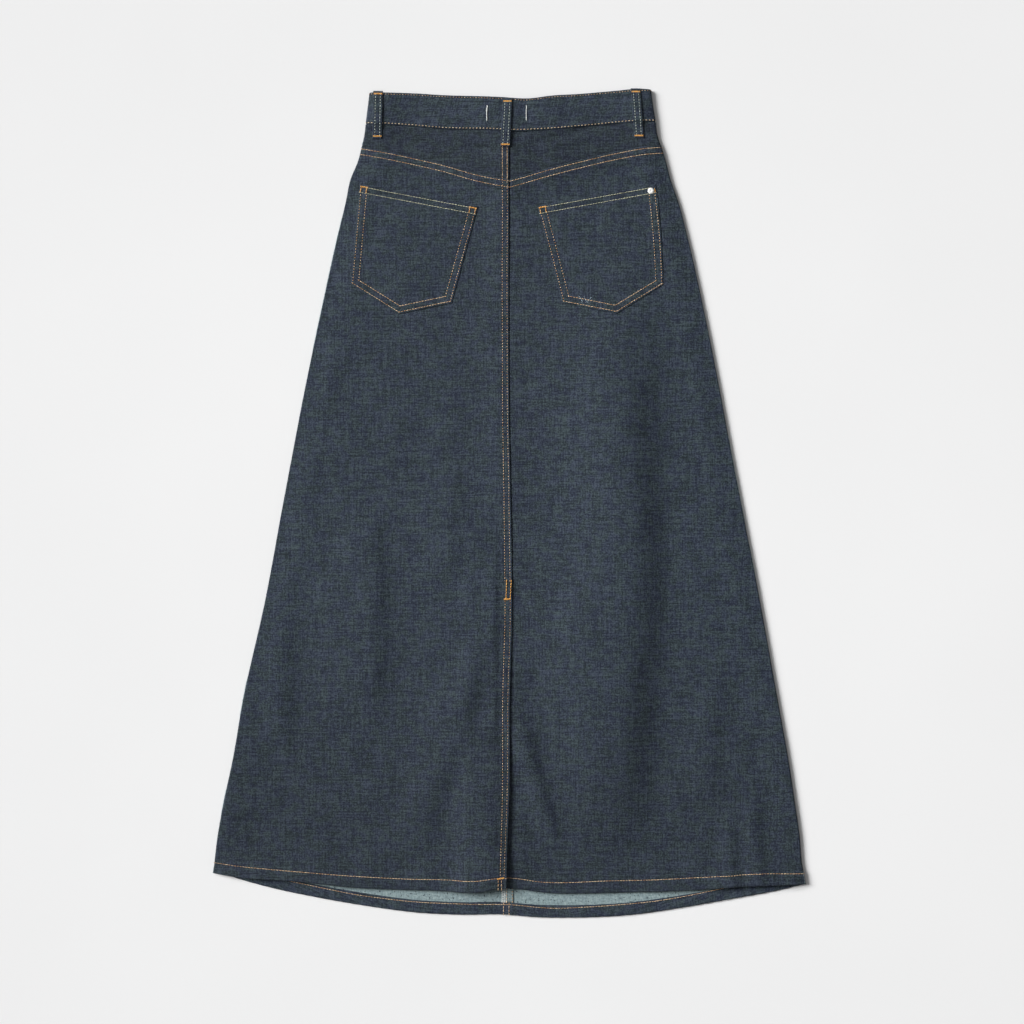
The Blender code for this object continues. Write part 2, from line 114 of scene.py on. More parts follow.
# %% Tables for the outline and the seams
Side = namedtuple("Side", "y left right")
SIDES = [
    Side(*row)
    for row in (
        (-434.9, -338.0, 338.0),
        (-422.4, -338.0, 335.9),
        (-410.0, -336.7, 333.7),
        (-384.2, -333.8, 331.6),
        (-338.6, -325.6, 325.3),
        (-293.0, -316.0, 318.4),
        (-224.6, -304.1, 306.1),
        (-110.6, -278.8, 285.6),
        (3.4, -257.7, 263.5),
        (60.0, -247.0, 252.6),
        (117.4, -236.1, 242.1),
        (231.4, -212.2, 219.4),
        (299.8, -197.2, 204.1),
        (345.4, -186.5, 192.1),
        (368.2, -181.8, 184.1),
        (391.0, -172.7, 178.2),
        (404.0, -169.2, 174.2),
        (418.4, -165.9, 169.1),
        (436.6, -163.7, 166.6),
        (455.0, -161.4, 163.6),
        (472.5, -159.3, 161.5),
    )
]
BACK_TOP_EDGE = (
    (-159.3, 468.2), (-108.9, 467.2), (-72.4, 464.9), (-35.9, 463.8), (-8.6, 462.6), (23.4, 461.1),
    (46.2, 464.1), (82.7, 466.6), (119.1, 469.9), (151.1, 472.2), (162.5, 471.6),
)  # fmt: skip
BACK_WAIST_SEAM = (
    (-163.5, 431.8), (-120.3, 430.1), (-75.8, 426.2), (-10.8, 424.3), (2.9, 423.5), (41.6, 424.9),
    (94.0, 429.6), (139.7, 434.0), (169.0, 434.8),
)  # fmt: skip
YOKE_SEAM = (
    (-171.0, 406.5), (-134.3, 399.7), (-75.5, 386.6), (-36.1, 375.5), (-10.0, 370.2), (-0.6, 369.0),
    (6.0, 370.6), (41.5, 380.8), (80.8, 391.1), (120.0, 400.4), (152.8, 406.3), (174.0, 408.2),
)  # fmt: skip
BACK_HEM = (
    (-338.0, -422.4), (-313.0, -426.4), (-238.8, -432.1), (-175.0, -438.9), (-129.4, -441.2),
    (-83.8, -442.3), (-38.2, -443.5), (-10.8, -439.2), (7.4, -440.0), (34.8, -443.9),
    (121.4, -444.6), (212.6, -441.2), (262.8, -437.8), (338.0, -434.9),
)  # fmt: skip
FRONT_HEM = (
    (-338.0, -422.4), (-325.5, -424.5), (-300.0, -432.0), (-270.8, -439.6), (-216.0, -451.0),
    (-161.3, -460.4), (-106.6, -467.5), (-51.9, -470.1), (-10.8, -469.7), (30.2, -472.9),
    (74.0, -473.4), (139.7, -470.1), (194.4, -462.4), (249.1, -452.8), (303.8, -442.8),
    (338.0, -434.9),
)  # fmt: skip
FRONT_TOP_EDGE = ((-159.3, 468.2), (-90.0, 454.0), (0.0, 444.0), (90.0, 456.0), (162.5, 471.6))
FRONT_WAIST_SEAM = ((-163.5, 431.8), (-90.0, 418.0), (0.0, 408.0), (90.0, 420.0), (169.0, 434.8))
BACK_CENTRE = (
    (-440.0, -3.2), (-414.0, -2.8), (-334.0, 0.0), (-224.6, 0.4), (-139.0, 2.8), (-65.0, 2.5),
    (100.0, -0.5), (391.0, -0.7),
)  # fmt: skip


# %% A smooth curve through a table
def curve_through(points):
    """A Hermite spline through (place, value) points, which goes on straight past its ends."""
    places, values = (np.array(column, float) for column in zip(*points))
    steps = np.diff(places)
    rates = np.diff(values) / steps
    inner = (steps[1:] * rates[:-1] + steps[:-1] * rates[1:]) / (steps[:-1] + steps[1:])
    slopes = np.concatenate(([rates[0]], inner, [rates[-1]]))

    def value_at(place):
        place = np.asarray(place, float)
        i = np.clip(np.searchsorted(places, place, side="right") - 1, 0, len(steps) - 1)
        t = np.clip((place - places[i]) / steps[i], 0.0, 1.0)
        inside = (
            (2 * t**3 - 3 * t**2 + 1) * values[i]
            + (t**3 - 2 * t**2 + t) * steps[i] * slopes[i]
            + (3 * t**2 - 2 * t**3) * values[i + 1]
            + (t**3 - t**2) * steps[i] * slopes[i + 1]
        )
        before = np.minimum(place - places[0], 0.0) * slopes[0]
        return inside + before + np.maximum(place - places[-1], 0.0) * slopes[-1]

    return value_at


left_side = curve_through([(s.y, s.left) for s in SIDES])
right_side = curve_through([(s.y, s.right) for s in SIDES])
back_top_edge = curve_through(BACK_TOP_EDGE)
back_waist_seam = curve_through(BACK_WAIST_SEAM)
yoke_seam = curve_through(YOKE_SEAM)
back_hem = curve_through(BACK_HEM)
front_hem = curve_through(FRONT_HEM)
front_top_edge = curve_through(FRONT_TOP_EDGE)
front_waist_seam = curve_through(FRONT_WAIST_SEAM)
back_centre = curve_through(BACK_CENTRE)


def front_centre(y):
    return np.full_like(np.asarray(y, float), FRONT_CENTRE)


print(f"the hem is {float(right_side(-430) - left_side(-430)):.0f} mm wide as it lies")

# %% [markdown]
# ## How high the back lies
#
# The front lies flat on the surface. The back lies on the front, on a seam allowance and on two
# hems, and is held up at each side by the fold of the cloth. A cloth simulation could settle such
# a stack, but it would slide the seams about. Here the height of the back is a formula instead: a
# sum of gentle rises, each of which says which layer or which crease it stands for. A smooth ramp
# between two distances is the only building block.


# %% The rises that the layers underneath make
def ramp(value, start, end):
    """0 at start, 1 at end, with a smooth rise between them."""
    t = np.clip((value - start) / (end - start), 0.0, 1.0)
    return t * t * (3 - 2 * t)


side_top = curve_through(
    ((-440.0, 5.2), (-320.0, 5.0), (-160.0, 4.7), (60.0, 4.4), (260.0, 4.3), (380.0, 4.9),
     (430.0, 6.1), (475.0, 6.2))
)  # fmt: skip
SIDE_FALL = 48.0
STACK_AT = FRONT_CENTRE - ALLOWANCE_WIDTH / 2
BUTTON_X, BUTTON_Y = 14.0, 426.0
LAP_DOME = 3.3


def inset_of(x, y):
    """How far a point is from the nearer side fold."""
    return np.minimum(x - left_side(y), right_side(y) - x)


def side_rise(x, y):
    return (side_top(y) - BACK_TOP) * ramp(inset_of(x, y), SIDE_FALL, BACK_ROLL)


def stack_rise(x, y):
    """The front's seam allowance, and the turned-up hems."""
    allowance = 0.9 * ramp(np.abs(x - STACK_AT), 42.0, 10.0) * ramp(y, 425.0, 385.0)
    over_hem = ramp(y - back_hem(x), 58.0, HEM_DEPTH + 4.0)
    hems = (1.3 + 0.85 * ramp(np.abs(x), 130.0, 175.0)) * over_hem
    return (allowance + hems) * ramp(inset_of(x, y), 4.0, 40.0)


def loft(x, y):
    """Stiff new denim doesn't lie quite down: it is fullest over the hips."""
    along = 2.4 * ramp(y, -330.0, -60.0) * ramp(y, 500.0, 425.0)
    return along * ramp(inset_of(x, y), 2.0, 30.0)


def lap_dome(x, y):
    """The button and the lapped ends of the waistband lie under here."""
    return LAP_DOME * ramp(np.hypot(x - BUTTON_X, y - BUTTON_Y), 125.0, 16.0)


# %% [markdown]
# ## The creases
#
# A garment that has hung or been folded keeps a few long, soft creases. Each one here is a ridge
# whose crest follows a curve down the skirt, with its own height and its own reach to either side,
# so that no two are alike. The light comes from the left, so the short, steep right side of each
# ridge is what shows. The slow swell at the end stands for the small unevenness of any cloth that
# was smoothed by hand: a few sine waves at odd angles and lengths, far cheaper than sculpting.

# %% Long creases of the back
Crease = namedtuple("Crease", "y_top x_top y_mid x_mid y_low x_low rise left right fade")
CREASES = [
    Crease(*row)
    for row in (
        (285.0, 126.0, -110.0, 139.0, -440.0, 112.0, 7.3, 90.0, 46.0, 200.0),
        (285.0, 104.0, -110.0, 112.0, -440.0, 92.0, 3.5, 110.0, 82.0, 200.0),
        (20.0, -160.0, -100.0, -158.0, -260.0, -160.0, 4.2, 80.0, 28.0, 90.0),
        (-120.0, -26.0, -247.0, -62.0, -400.0, -108.0, 3.4, 50.0, 27.0, 90.0),
        (60.0, -66.0, -20.0, -69.0, -90.0, -72.0, 1.6, 40.0, 20.0, 50.0),
        (-225.0, 6.0, -305.0, 28.0, -395.0, 54.0, 3.7, 28.0, 14.0, 50.0),
        (-318.0, 14.0, -375.0, 15.0, -428.0, 16.5, 1.3, 10.0, 4.0, 40.0),
        (-70.0, 66.0, -170.0, 73.0, -245.0, 78.0, 2.6, 44.0, 36.0, 60.0),
        (-178.0, 42.0, -215.0, 46.0, -270.0, 54.0, 1.2, 14.0, 14.0, 40.0),
        (-120.0, -262.0, -200.0, -260.0, -290.0, -258.0, 2.2, 34.0, 20.0, 60.0),
        (-185.0, 229.0, -270.0, 228.0, -350.0, 227.0, 2.4, 34.0, 22.0, 60.0),
        (-350.0, 249.0, -400.0, 252.0, -440.0, 255.0, 2.6, 20.0, 11.0, 30.0),
        (-320.0, 276.0, -380.0, 280.0, -440.0, 285.0, 2.8, 20.0, 14.0, 40.0),
        (-40.0, -16.5, -120.0, -16.5, -280.0, -17.0, 1.2, 16.0, 5.0, 60.0),
        (-40.0, 0.0, -85.0, 17.0, -130.0, 36.0, 1.3, 16.0, 10.0, 30.0),
        (60.0, -45.0, -200.0, -48.0, -440.0, -52.0, 2.0, 140.0, 42.0, 120.0),
        (290.0, 0.5, 100.0, 1.0, -110.0, 3.0, 0.5, 4.0, 17.0, 60.0),
    )
]


def crease_rise(x, y):
    total = 0.0
    for crease in CREASES:
        table = ((crease.y_low, crease.x_low), (crease.y_mid, crease.x_mid), (crease.y_top, crease.x_top))
        across = x - curve_through(table)(y)
        reach = np.where(across > 0, crease.right, crease.left)
        ends = ramp(y, crease.y_top, crease.y_top - crease.fade)
        ends = ends * ramp(y, crease.y_low - 20.0, crease.y_low - 20.0 + crease.fade)
        total = total + crease.rise * ends * ramp(np.abs(across), reach, 0.0)
    return total * ramp(inset_of(x, y), 6.0, 36.0)


Wrinkle = namedtuple("Wrinkle", "x_from y_from x_to y_to depth width")
WRINKLES = [
    Wrinkle(*row)
    for row in (
        (16.0, 405.0, 100.0, 430.0, 1.7, 6.5),
        (30.0, 396.0, 105.0, 412.0, 1.2, 6.5),
        (-140.0, 420.0, -70.0, 404.0, 1.4, 7.0),
        (-75.0, 405.0, -14.0, 402.0, 1.2, 7.0),
        (16.0, 424.0, 20.0, 464.0, 0.9, 12.0),
        (-166.0, 424.0, -148.0, 421.0, 0.5, 4.0),
        (-169.0, 410.0, -150.0, 408.0, 0.4, 4.0),
    )
]


def wrinkle_rise(x, y):
    """Short troughs about the waist, where the cloth was gathered by its seams."""
    total = 0.0
    for w in WRINKLES:
        run_x, run_y = w.x_to - w.x_from, w.y_to - w.y_from
        length = math.hypot(run_x, run_y)
        along = ((x - w.x_from) * run_x + (y - w.y_from) * run_y) / length
        across = ((y - w.y_from) * run_x - (x - w.x_from) * run_y) / length
        ends = ramp(along, -0.1 * length, 0.3 * length) * ramp(along, 1.1 * length, 0.7 * length)
        total = total - w.depth * ends * ramp(np.abs(across), w.width, 0.0)
    return total


Swell = namedtuple("Swell", "height length angle phase")
SWELLS = [
    Swell(*row)
    for row in (
        (0.22, 61.0, 12.0, 0.4),
        (0.20, 83.0, 75.0, 1.9),
        (0.13, 47.0, -38.0, 3.1),
        (0.08, 33.0, 51.0, 5.0),
        (0.06, 26.0, 101.0, 2.2),
    )
]


def swell(x, y):
    total = 0.0
    for wave in SWELLS:
        turn = math.radians(wave.angle)
        along = x * math.cos(turn) + y * math.sin(turn)
        bend = 0.9 * np.sin((y * math.cos(turn) - x * math.sin(turn)) / wave.length * 1.7)
        total = total + wave.height * np.sin(2 * math.pi * along / wave.length + wave.phase + bend)
    return total * ramp(inset_of(x, y), 4.0, 24.0)


def vent_ridge(x, y):
    """The stiff underlap bulges beneath the vent's edge, and falls away to its right."""
    from_centre = x - back_centre(y)
    return 1.8 * ramp(y, -200.0, -400.0) * ramp(from_centre, -130.0, -10.0) * ramp(from_centre, 17.0, -3.0)


def back_surface(x, y):
    """The outer side of the back, before any seam."""
    layers = side_rise(x, y) + stack_rise(x, y) + loft(x, y) + lap_dome(x, y) + vent_ridge(x, y)
    return BACK_TOP + layers + crease_rise(x, y) + wrinkle_rise(x, y) + swell(x, y)


print(f"{len(CREASES)} creases, the highest {max(c.rise for c in CREASES)} mm")

# %% [markdown]
# ## Seams in relief
#
# On jeanswear most seams are lapped: one piece's folded edge lies on the next piece, and two rows
# of stitches run beside it. The lapped edge stands up by two layers of cloth, and each row of
# stitches pulls a shallow groove. Both could be painted with a bump map, but an edge that throws a
# shadow has to be real geometry, so the surface functions below include them.


# %% Lapped edges and stitch grooves
def lapped(distance):
    """How far a seam's lapped side stands up at a distance from its folded edge."""
    return LAP * ramp(distance, SEAM_WIDTH + 11.0, SEAM_WIDTH - 5.0)


def centre_lap(distance):
    """The left panel comes up slowly to the centre seam's lap, by a part of its thickness."""
    return 0.45 * LAP * ramp(distance, 33.0, 6.0)


def centre_dip(distance):
    """The right panel goes down by the rest of that thickness, to pass under the lap."""
    return -0.55 * LAP * ramp(distance, 45.0, 4.0)


def groove(distance):
    return -0.22 * ramp(np.abs(distance), 1.4, 0.0)


def double_groove(distance):
    return groove(distance - ROW_NEAR) + groove(distance - ROW_FAR)


def puckers(along, distance):
    """Thread that is pulled tight gathers a seam into faint waves."""
    wave = np.sin(2 * math.pi * along / 15.0 + 1.4 * np.sin(along / 37.0))
    return 0.13 * wave * ramp(distance, 16.0, 9.0) * ramp(distance, -1.0, 2.0)


def vent_lift(x, y):
    """Below the vent's top the left panel lies over the right panel's underlap, and its free edge
    lifts off it more and more towards the hem."""
    inner = back_centre(y) - UNDERLAP
    layers = CLOTH + 0.95 + 2 * HEM_TURN * 0.6 * ramp(y - back_hem(x), 50.0, HEM_DEPTH + 4.0)
    lap = layers * ramp(x, inner - 30.0, inner - 8.0) * ramp(y, VENT_TOP + 30.0, VENT_TOP)
    from_edge = back_centre(y) - x
    flare = 4.4 * ramp(y, -120.0, -400.0) * ramp(from_edge, 84.0, 22.0)
    return lap + flare * (1 - 0.4 * ramp(from_edge, 22.0, 0.0))


def hem_lift(x, y):
    """The back's hem stands a little off the front's, most of all near the sides."""
    most = 0.7 + 2.2 * ramp(x, 150.0, 235.0) + 1.6 * ramp(x, -140.0, -215.0)
    return most * ramp(y - back_hem(x), 24.0, 0.0) * ramp(inset_of(x, y), 1.0, 16.0)


ROW_NEAR_AT = curve_through(
    ((-440.0, 3.2), (-400.0, 3.0), (-334.0, 2.6), (-225.0, 2.3), (-65.0, 2.1), (100.0, 1.7), (391.0, 1.8))
)
ROW_FAR_AT = curve_through(
    ((-440.0, 7.5), (-400.0, 7.6), (-334.0, 8.0), (-225.0, 8.1), (-65.0, 7.9), (100.0, 7.2), (391.0, 7.3))
)


def centre_grooves(distance, y):
    return groove(distance - ROW_NEAR_AT(y)) + groove(distance - ROW_FAR_AT(y))


BACK_ROW = curve_through(
    ((-334.0, 12.6), (-290.0, 12.6), (-243.0, 11.3), (-220.0, 11.8), (-175.0, 13.1), (-110.0, 12.6),
     (-38.0, 13.3), (0.0, 12.0), (30.0, 11.7), (65.0, 12.6), (98.0, 13.6), (167.0, 13.7), (212.0, 13.9),
     (258.0, 13.5), (281.0, 14.1), (326.0, 12.5))
)  # fmt: skip
FRONT_ROW = curve_through(
    ((-338.0, 12.2), (-220.0, 12.2), (-175.0, 11.2), (-130.0, 11.8), (-60.0, 12.4), (-15.0, 11.4),
     (8.0, 12.1), (53.0, 10.9), (90.0, 12.0), (120.0, 12.7), (190.0, 12.3), (236.0, 13.6), (338.0, 13.0))
)  # fmt: skip


def ditch(distance):
    """The narrow hollow that a seam's folded edge presses into the cloth beside it."""
    return -0.6 * ramp(np.abs(distance - 0.5), 1.3, 0.3)


def left_back_surface(x, y):
    from_edge = back_centre(y) - x
    below_yoke = yoke_seam(x) - y
    at_side = ramp(inset_of(x, y), 0.0, 8.0)
    seam = centre_lap(from_edge) * ramp(y, VENT_TOP - 20.0, VENT_TOP + 10.0)
    raised = np.maximum(np.maximum(seam, vent_lift(x, y)), lapped(below_yoke) * at_side)
    sewn = centre_grooves(from_edge, y) + double_groove(below_yoke)
    sewn = sewn + groove(y - back_hem(x) - BACK_ROW(x)) + puckers(y, from_edge) + puckers(x, below_yoke)
    return back_surface(x, y) + hem_lift(x, y) + raised + sewn * at_side


def right_back_surface(x, y):
    below_yoke = yoke_seam(x) - y
    at_side = ramp(inset_of(x, y), 0.0, 8.0)
    sewn = double_groove(below_yoke) + groove(y - back_hem(x) - BACK_ROW(x)) + puckers(x, below_yoke)
    from_centre = x - back_centre(y)
    raised = lapped(below_yoke) * at_side * ramp(from_centre, -1.0, 3.0)
    raised = raised + centre_dip(from_centre) * ramp(y, VENT_TOP - 20.0, VENT_TOP + 10.0)
    sewn = sewn + ditch(from_centre) * ramp(y, VENT_TOP - 12.0, VENT_TOP + 4.0)
    return back_surface(x, y) + hem_lift(x, y) + raised + sewn * at_side


def band_surface(x, y):
    """The waistband stands on the yoke, and its top edge rounds off."""
    share = ramp(inset_of(x, y), 0.0, 10.0)
    above, below = y - back_waist_seam(x), back_top_edge(x) - y
    sewn = groove(above - 1.8) + groove(below - 2.3)
    return back_surface(x, y) + (LAP + sewn) * share


print(f"the vent's edge lifts {float(vent_lift(-4.0, -430.0)):.1f} mm at the hem")

# %% [markdown]
# ## A sheet of cloth from a grid
#
# Every piece of cloth starts as a rectangular grid of points, like squared paper. A grid line is a
# share of the way from one edge to the other plus a distance in millimetres, so lines can crowd
# together beside a seam and spread out between. The grid is bent to the piece's outline, lifted to
# its height and thickened by a Solidify modifier, which also gives the wrong side of the denim its
# own, paler material. Drawing the pieces as curves and filling them would give long thin
# triangles, and they wouldn't bend.


# %% Grid lines
def grid_lines(near_first, count, near_last):
    """Lines from one edge to the other: set distances in from each, and even shares between."""
    first, last = near_first[-1], near_last[-1]
    between = [(k / count, first * (1 - k / count) - last * k / count) for k in range(1, count)]
    return [(0.0, d) for d in near_first] + between + [(1.0, -d) for d in reversed(near_last)]


def mirrored(lines):
    return [(1 - share, -distance) for share, distance in reversed(lines)]


def cut_grid(across, along, left, right, bottom, top):
    """X and Y where the grid's lines meet. Each depends a little on the other."""
    share_x, off_x = (np.array(c) for c in zip(*across))
    share_y, off_y = (np.array(c)[:, None] for c in zip(*along))
    y = np.full((len(along), len(across)), 0.5 * float(bottom(0.0) + top(0.0)))
    for _ in range(8):
        x = left(y) * (1 - share_x) + right(y) * share_x + off_x
        y = bottom(x) * (1 - share_y) + top(x) * share_y + off_y
    return x, y


# %% Normals, folded edges and flat sizes of a grid
def normals_of(points):
    across = np.gradient(points, axis=1)
    along = np.gradient(points, axis=0)
    normal = np.cross(across, along)
    return normal / np.linalg.norm(normal, axis=2, keepdims=True)


def facing(grid, edge):
    """Turns a grid so that one of its edges is the first row; facing_back undoes it."""
    if edge in ("left", "right"):
        grid = grid.transpose(1, 0, 2)
    return grid[::-1] if edge in ("top", "right") else grid


def facing_back(grid, edge):
    grid = grid[::-1] if edge in ("top", "right") else grid
    return grid.transpose(1, 0, 2) if edge in ("left", "right") else grid


def folded_under(points, edge, radius, depth, steps=5):
    """Folds one edge of a grid under: a half turn, then a strip that runs back for depth. The
    strip's far edge bends towards the cloth, as a raw edge that is turned in. Also returns how
    many lines that adds to the grid."""
    normal, points = facing(normals_of(points), edge), facing(points, edge)
    outwards = points[0] - points[1]
    outwards = outwards / np.linalg.norm(outwards, axis=1, keepdims=True)
    gone = np.linalg.norm(np.diff(points[:, points.shape[1] // 2], axis=0), axis=1)
    gone = np.concatenate(([0.0], np.cumsum(gone)))
    rows = []
    for row in range(int(np.searchsorted(gone, depth)), 0, -1):
        drop = 2 * radius - (2 * radius - 2 * CLOTH) * ramp(gone[row], depth - 1.5, depth)
        rows.append(points[row] - normal[row] * drop)
    for angle in np.linspace(math.pi, 0.0, steps + 1)[:-1]:
        out = outwards * radius * math.sin(angle)
        rows.append(points[0] + out - normal[0] * radius * (1 - math.cos(angle)))
    added = len(rows)
    return facing_back(np.concatenate((np.array(rows), points)), edge), added


def flat_cut(points, from_column=None, from_row=None):
    """Where each point was on the flat cloth, from how far apart the points are. The cloth is
    laid out from one column and one row, the middle ones unless others are given."""
    from_column = points.shape[1] // 2 if from_column is None else from_column
    from_row = points.shape[0] // 2 if from_row is None else from_row
    step = np.linalg.norm(np.diff(points, axis=1)[..., [0, 2]], axis=2)
    u = np.concatenate((np.zeros((len(points), 1)), np.cumsum(step, axis=1)), axis=1)
    step = np.linalg.norm(np.diff(points, axis=0)[..., [1, 2]], axis=2)
    v = np.concatenate((np.zeros((1, points.shape[1])), np.cumsum(step, axis=0)), axis=0)
    u += points[:, [from_column], 0] - u[:, [from_column]]
    v += points[[from_row], :, 1] - v[[from_row], :]
    return np.stack((u, v), axis=2)


# %% [markdown]
# ## Colours and a small helper for nodes
#
# Blender mixes light in linear values, while colours are written down as sRGB hex codes, so one
# function turns one into the other. Materials here are built from nodes, and one helper adds a
# node, sets its properties and wires its inputs. It also serves the Geometry Nodes further down.


# %% Colour and node helpers
def linear(hex_colour):
    """An sRGB hex colour as linear red, green, blue and alpha."""
    channels = [int(hex_colour[i : i + 2], 16) / 255 for i in (1, 3, 5)]
    return (*[c / 12.92 if c <= 0.04045 else ((c + 0.055) / 1.055) ** 2.4 for c in channels], 1.0)


def add_node(tree, kind, inputs=None, **settings):
    """Adds one node. An input is a value, or the socket that feeds it."""
    made = tree.nodes.new(kind)
    for name, value in settings.items():
        setattr(made, name, value)
    for name, value in (inputs or {}).items():
        if isinstance(value, bpy.types.NodeSocket):
            tree.links.new(value, made.inputs[name])
        else:
            made.inputs[name].default_value = value
    return made


def new_material(name):
    made = bpy.data.materials.new(name)
    made.use_nodes = True
    return made, made.node_tree, made.node_tree.nodes["Principled BSDF"]


# %% [markdown]
# ## Rigid indigo denim
#
# Denim is a 3x1 twill: the warp is dyed indigo, the weft is left pale, and the face shows mostly
# warp. Its yarns are spun unevenly, so thick and thin stretches, called slubs, draw short dark and
# light dashes along both directions of the cloth. That cross-hatch is what the eye knows as raw
# denim. The real yarns are about 0.45 mm apart, too fine for a picture of a whole skirt, so the
# dashes here are drawn at 1 to 2 mm. Noise that is stretched along one thread direction makes each
# family of dashes. Its coordinates are the piece's flat cut, so that the pattern turns with every
# piece and bends round every fold, as woven threads do.


# %% Streaks along the threads
def streaks(tree, flat, along_x, along_y, seed, detail=1.0):
    """Noise stretched to blotches of that many millimetres each way on the flat cloth."""
    scale = (1 / (along_x * MM), 1 / (along_y * MM), 1.0)
    placed = add_node(
        tree, "ShaderNodeMapping", {"Vector": flat, "Location": (seed, seed * 1.7, seed), "Scale": scale}
    )
    return add_node(
        tree,
        "ShaderNodeTexNoise",
        {"Vector": placed.outputs[0], "Scale": 1.0, "Detail": detail, "Roughness": 0.6},
        noise_dimensions="2D",
    ).outputs[0]


def math_node(tree, operation, *values):
    return add_node(tree, "ShaderNodeMath", dict(enumerate(values)), operation=operation).outputs[0]


def weighted(tree, parts):
    """The sum of each noise's distance from its middle value, times its weight."""
    total = 0.0
    for noise, weight in parts:
        part = math_node(tree, "SUBTRACT", noise, 0.5)
        total = math_node(tree, "MULTIPLY_ADD", part, weight, total)
    return total


def spread(tree, value, low, high):
    """Stretches the values between low and high to 0 and 1, and holds the rest there."""
    return add_node(tree, "ShaderNodeMapRange", {0: value, 1: low, 2: high}).outputs[0]


def mixed_colour(tree, share, first, second):
    return add_node(tree, "ShaderNodeMix", {0: share, 6: first, 7: second}, data_type="RGBA").outputs[2]


def colour_steps(tree, value, steps):
    """A colour ramp from (place, hex colour) pairs."""
    made = add_node(tree, "ShaderNodeValToRGB", {"Fac": value})
    elements = made.color_ramp.elements
    while len(elements) < len(steps):
        elements.new(0.5)
    for element, (place, colour) in zip(elements, steps):
        element.position = place
        element.color = linear(colour)
    return made.outputs[0]


# %% The denim's two faces
def rigid_denim_face(name, value=1.0):
    """Unwashed indigo twill: a matt, slightly fuzzy surface with only a broad, weak shine."""
    made, tree, shader = new_material(name)
    flat = add_node(tree, "ShaderNodeUVMap", uv_map="cut").outputs[0]
    noises = [
        (streaks(tree, flat, 1.7, 1.7, 47.0, detail=0.0), 0.95),
        (streaks(tree, flat, 8.0, 1.6, 3.0), 0.88),
        (streaks(tree, flat, 1.6, 8.0, 11.0), 0.70),
        (streaks(tree, flat, 46.0, 1.9, 23.0), 0.72),
        (streaks(tree, flat, 1.9, 46.0, 31.0), 0.62),
        (streaks(tree, flat, 24.0, 30.0, 59.0, detail=2.0), 0.22),
    ]
    tone = math_node(tree, "ADD", weighted(tree, noises), 0.5)
    navy = colour_steps(tree, tone, [(0.1, "#1B2130"), (0.5, "#2B3341"), (0.9, "#3E4754")])
    grey = colour_steps(tree, tone, [(0.1, "#1B242A"), (0.5, "#2C363C"), (0.9, "#3F4B50")])
    tint = spread(tree, streaks(tree, flat, 13.0, 11.0, 83.0, detail=2.0), 0.38, 0.62)
    cloth = mixed_colour(tree, tint, navy, grey)
    slub = spread(tree, streaks(tree, flat, 8.0, 3.0, 97.0, detail=1.0), 0.72, 0.80)
    slubbed = mixed_colour(tree, math_node(tree, "MULTIPLY", slub, 0.6), cloth, linear("#161C29"))
    # The colour gets up to 16 percent darker towards the hem, over the lowest 0.44 m of the cut.
    height = add_node(tree, "ShaderNodeSeparateXYZ", {0: flat}).outputs["Y"]
    # painted shade: a value below 1 darkens the whole cloth, as the yokes' copy does for twill that reflects
    # less light across its grain
    shade = {0: height, 1: -0.44, 2: -0.05, 3: 0.84 * value, 4: value}
    darker = add_node(tree, "ShaderNodeMapRange", shade, interpolation_type="SMOOTHSTEP").outputs[0]
    seen = add_node(tree, "ShaderNodeHueSaturation", {"Color": slubbed, "Value": darker}).outputs[0]
    tree.links.new(seen, shader.inputs["Base Color"])
    bump = add_node(
        tree, "ShaderNodeBump", {"Strength": 0.3, "Distance": 0.0002, "Height": tone}
    ).outputs[0]
    tree.links.new(bump, shader.inputs["Normal"])
    shader.inputs["Roughness"].default_value = 0.8
    shader.inputs["Specular IOR Level"].default_value = 0.22
    shader.inputs["Sheen Weight"].default_value = 0.03
    shader.inputs["Sheen Roughness"].default_value = 0.5
    return made


def denim_wrong_side():
    """The pale weft side, a greyed teal where indigo has rubbed onto it, with dark warp specks."""
    made, tree, shader = new_material("denim_weft_side")
    flat = add_node(tree, "ShaderNodeUVMap", uv_map="cut").outputs[0]
    weft = streaks(tree, flat, 7.0, 2.0, 5.0)
    warp = streaks(tree, flat, 2.0, 7.0, 17.0)
    grain = streaks(tree, flat, 1.7, 1.7, 29.0, detail=0.0)
    yarn = weighted(tree, [(weft, 0.45), (warp, 0.42), (grain, 0.38)])
    tone = math_node(tree, "ADD", yarn, 0.5)
    cloth = colour_steps(tree, tone, [(0.0, "#46555A"), (0.5, "#7C8E91"), (1.0, "#A9B9B8")])
    specks = spread(tree, streaks(tree, flat, 3.0, 2.4, 71.0), 0.70, 0.73)
    speckled = mixed_colour(tree, math_node(tree, "MULTIPLY", specks, 0.95), cloth, linear("#1B2432"))
    tree.links.new(speckled, shader.inputs["Base Color"])
    bump = add_node(
        tree, "ShaderNodeBump", {"Strength": 0.3, "Distance": 0.00025, "Height": tone}
    ).outputs[0]
    tree.links.new(bump, shader.inputs["Normal"])
    shader.inputs["Roughness"].default_value = 0.85
    return made


denim_face = rigid_denim_face("rigid_indigo_denim")
# The yokes' copy is 20 percent darker: painted shade, for twill cut crosswise that reflects less of the
# light.
painted_shade_denim_crosswise = rigid_denim_face("rigid_indigo_denim_crosswise_painted_shade", 0.80)
weft_side = denim_wrong_side()
print("cloth materials:", denim_face.name, painted_shade_denim_crosswise.name, weft_side.name)

# %% [markdown]
# ## Sewing thread and metal
#
# Topstitching thread is a thick core-spun polyester, 0.6 mm across, in ochre on most seams. The
# pocket mouths and belt loops are sewn in khaki, the bartacks in a brighter orange, and the raw
# edge inside is overlocked in white. Spun thread is a soft, hairy thing with a faint silky shine.
# Every stitch carries its own tone value, made with the stitches further down, and the material
# reads it, because dye lot and tension make no two stitches quite the same.


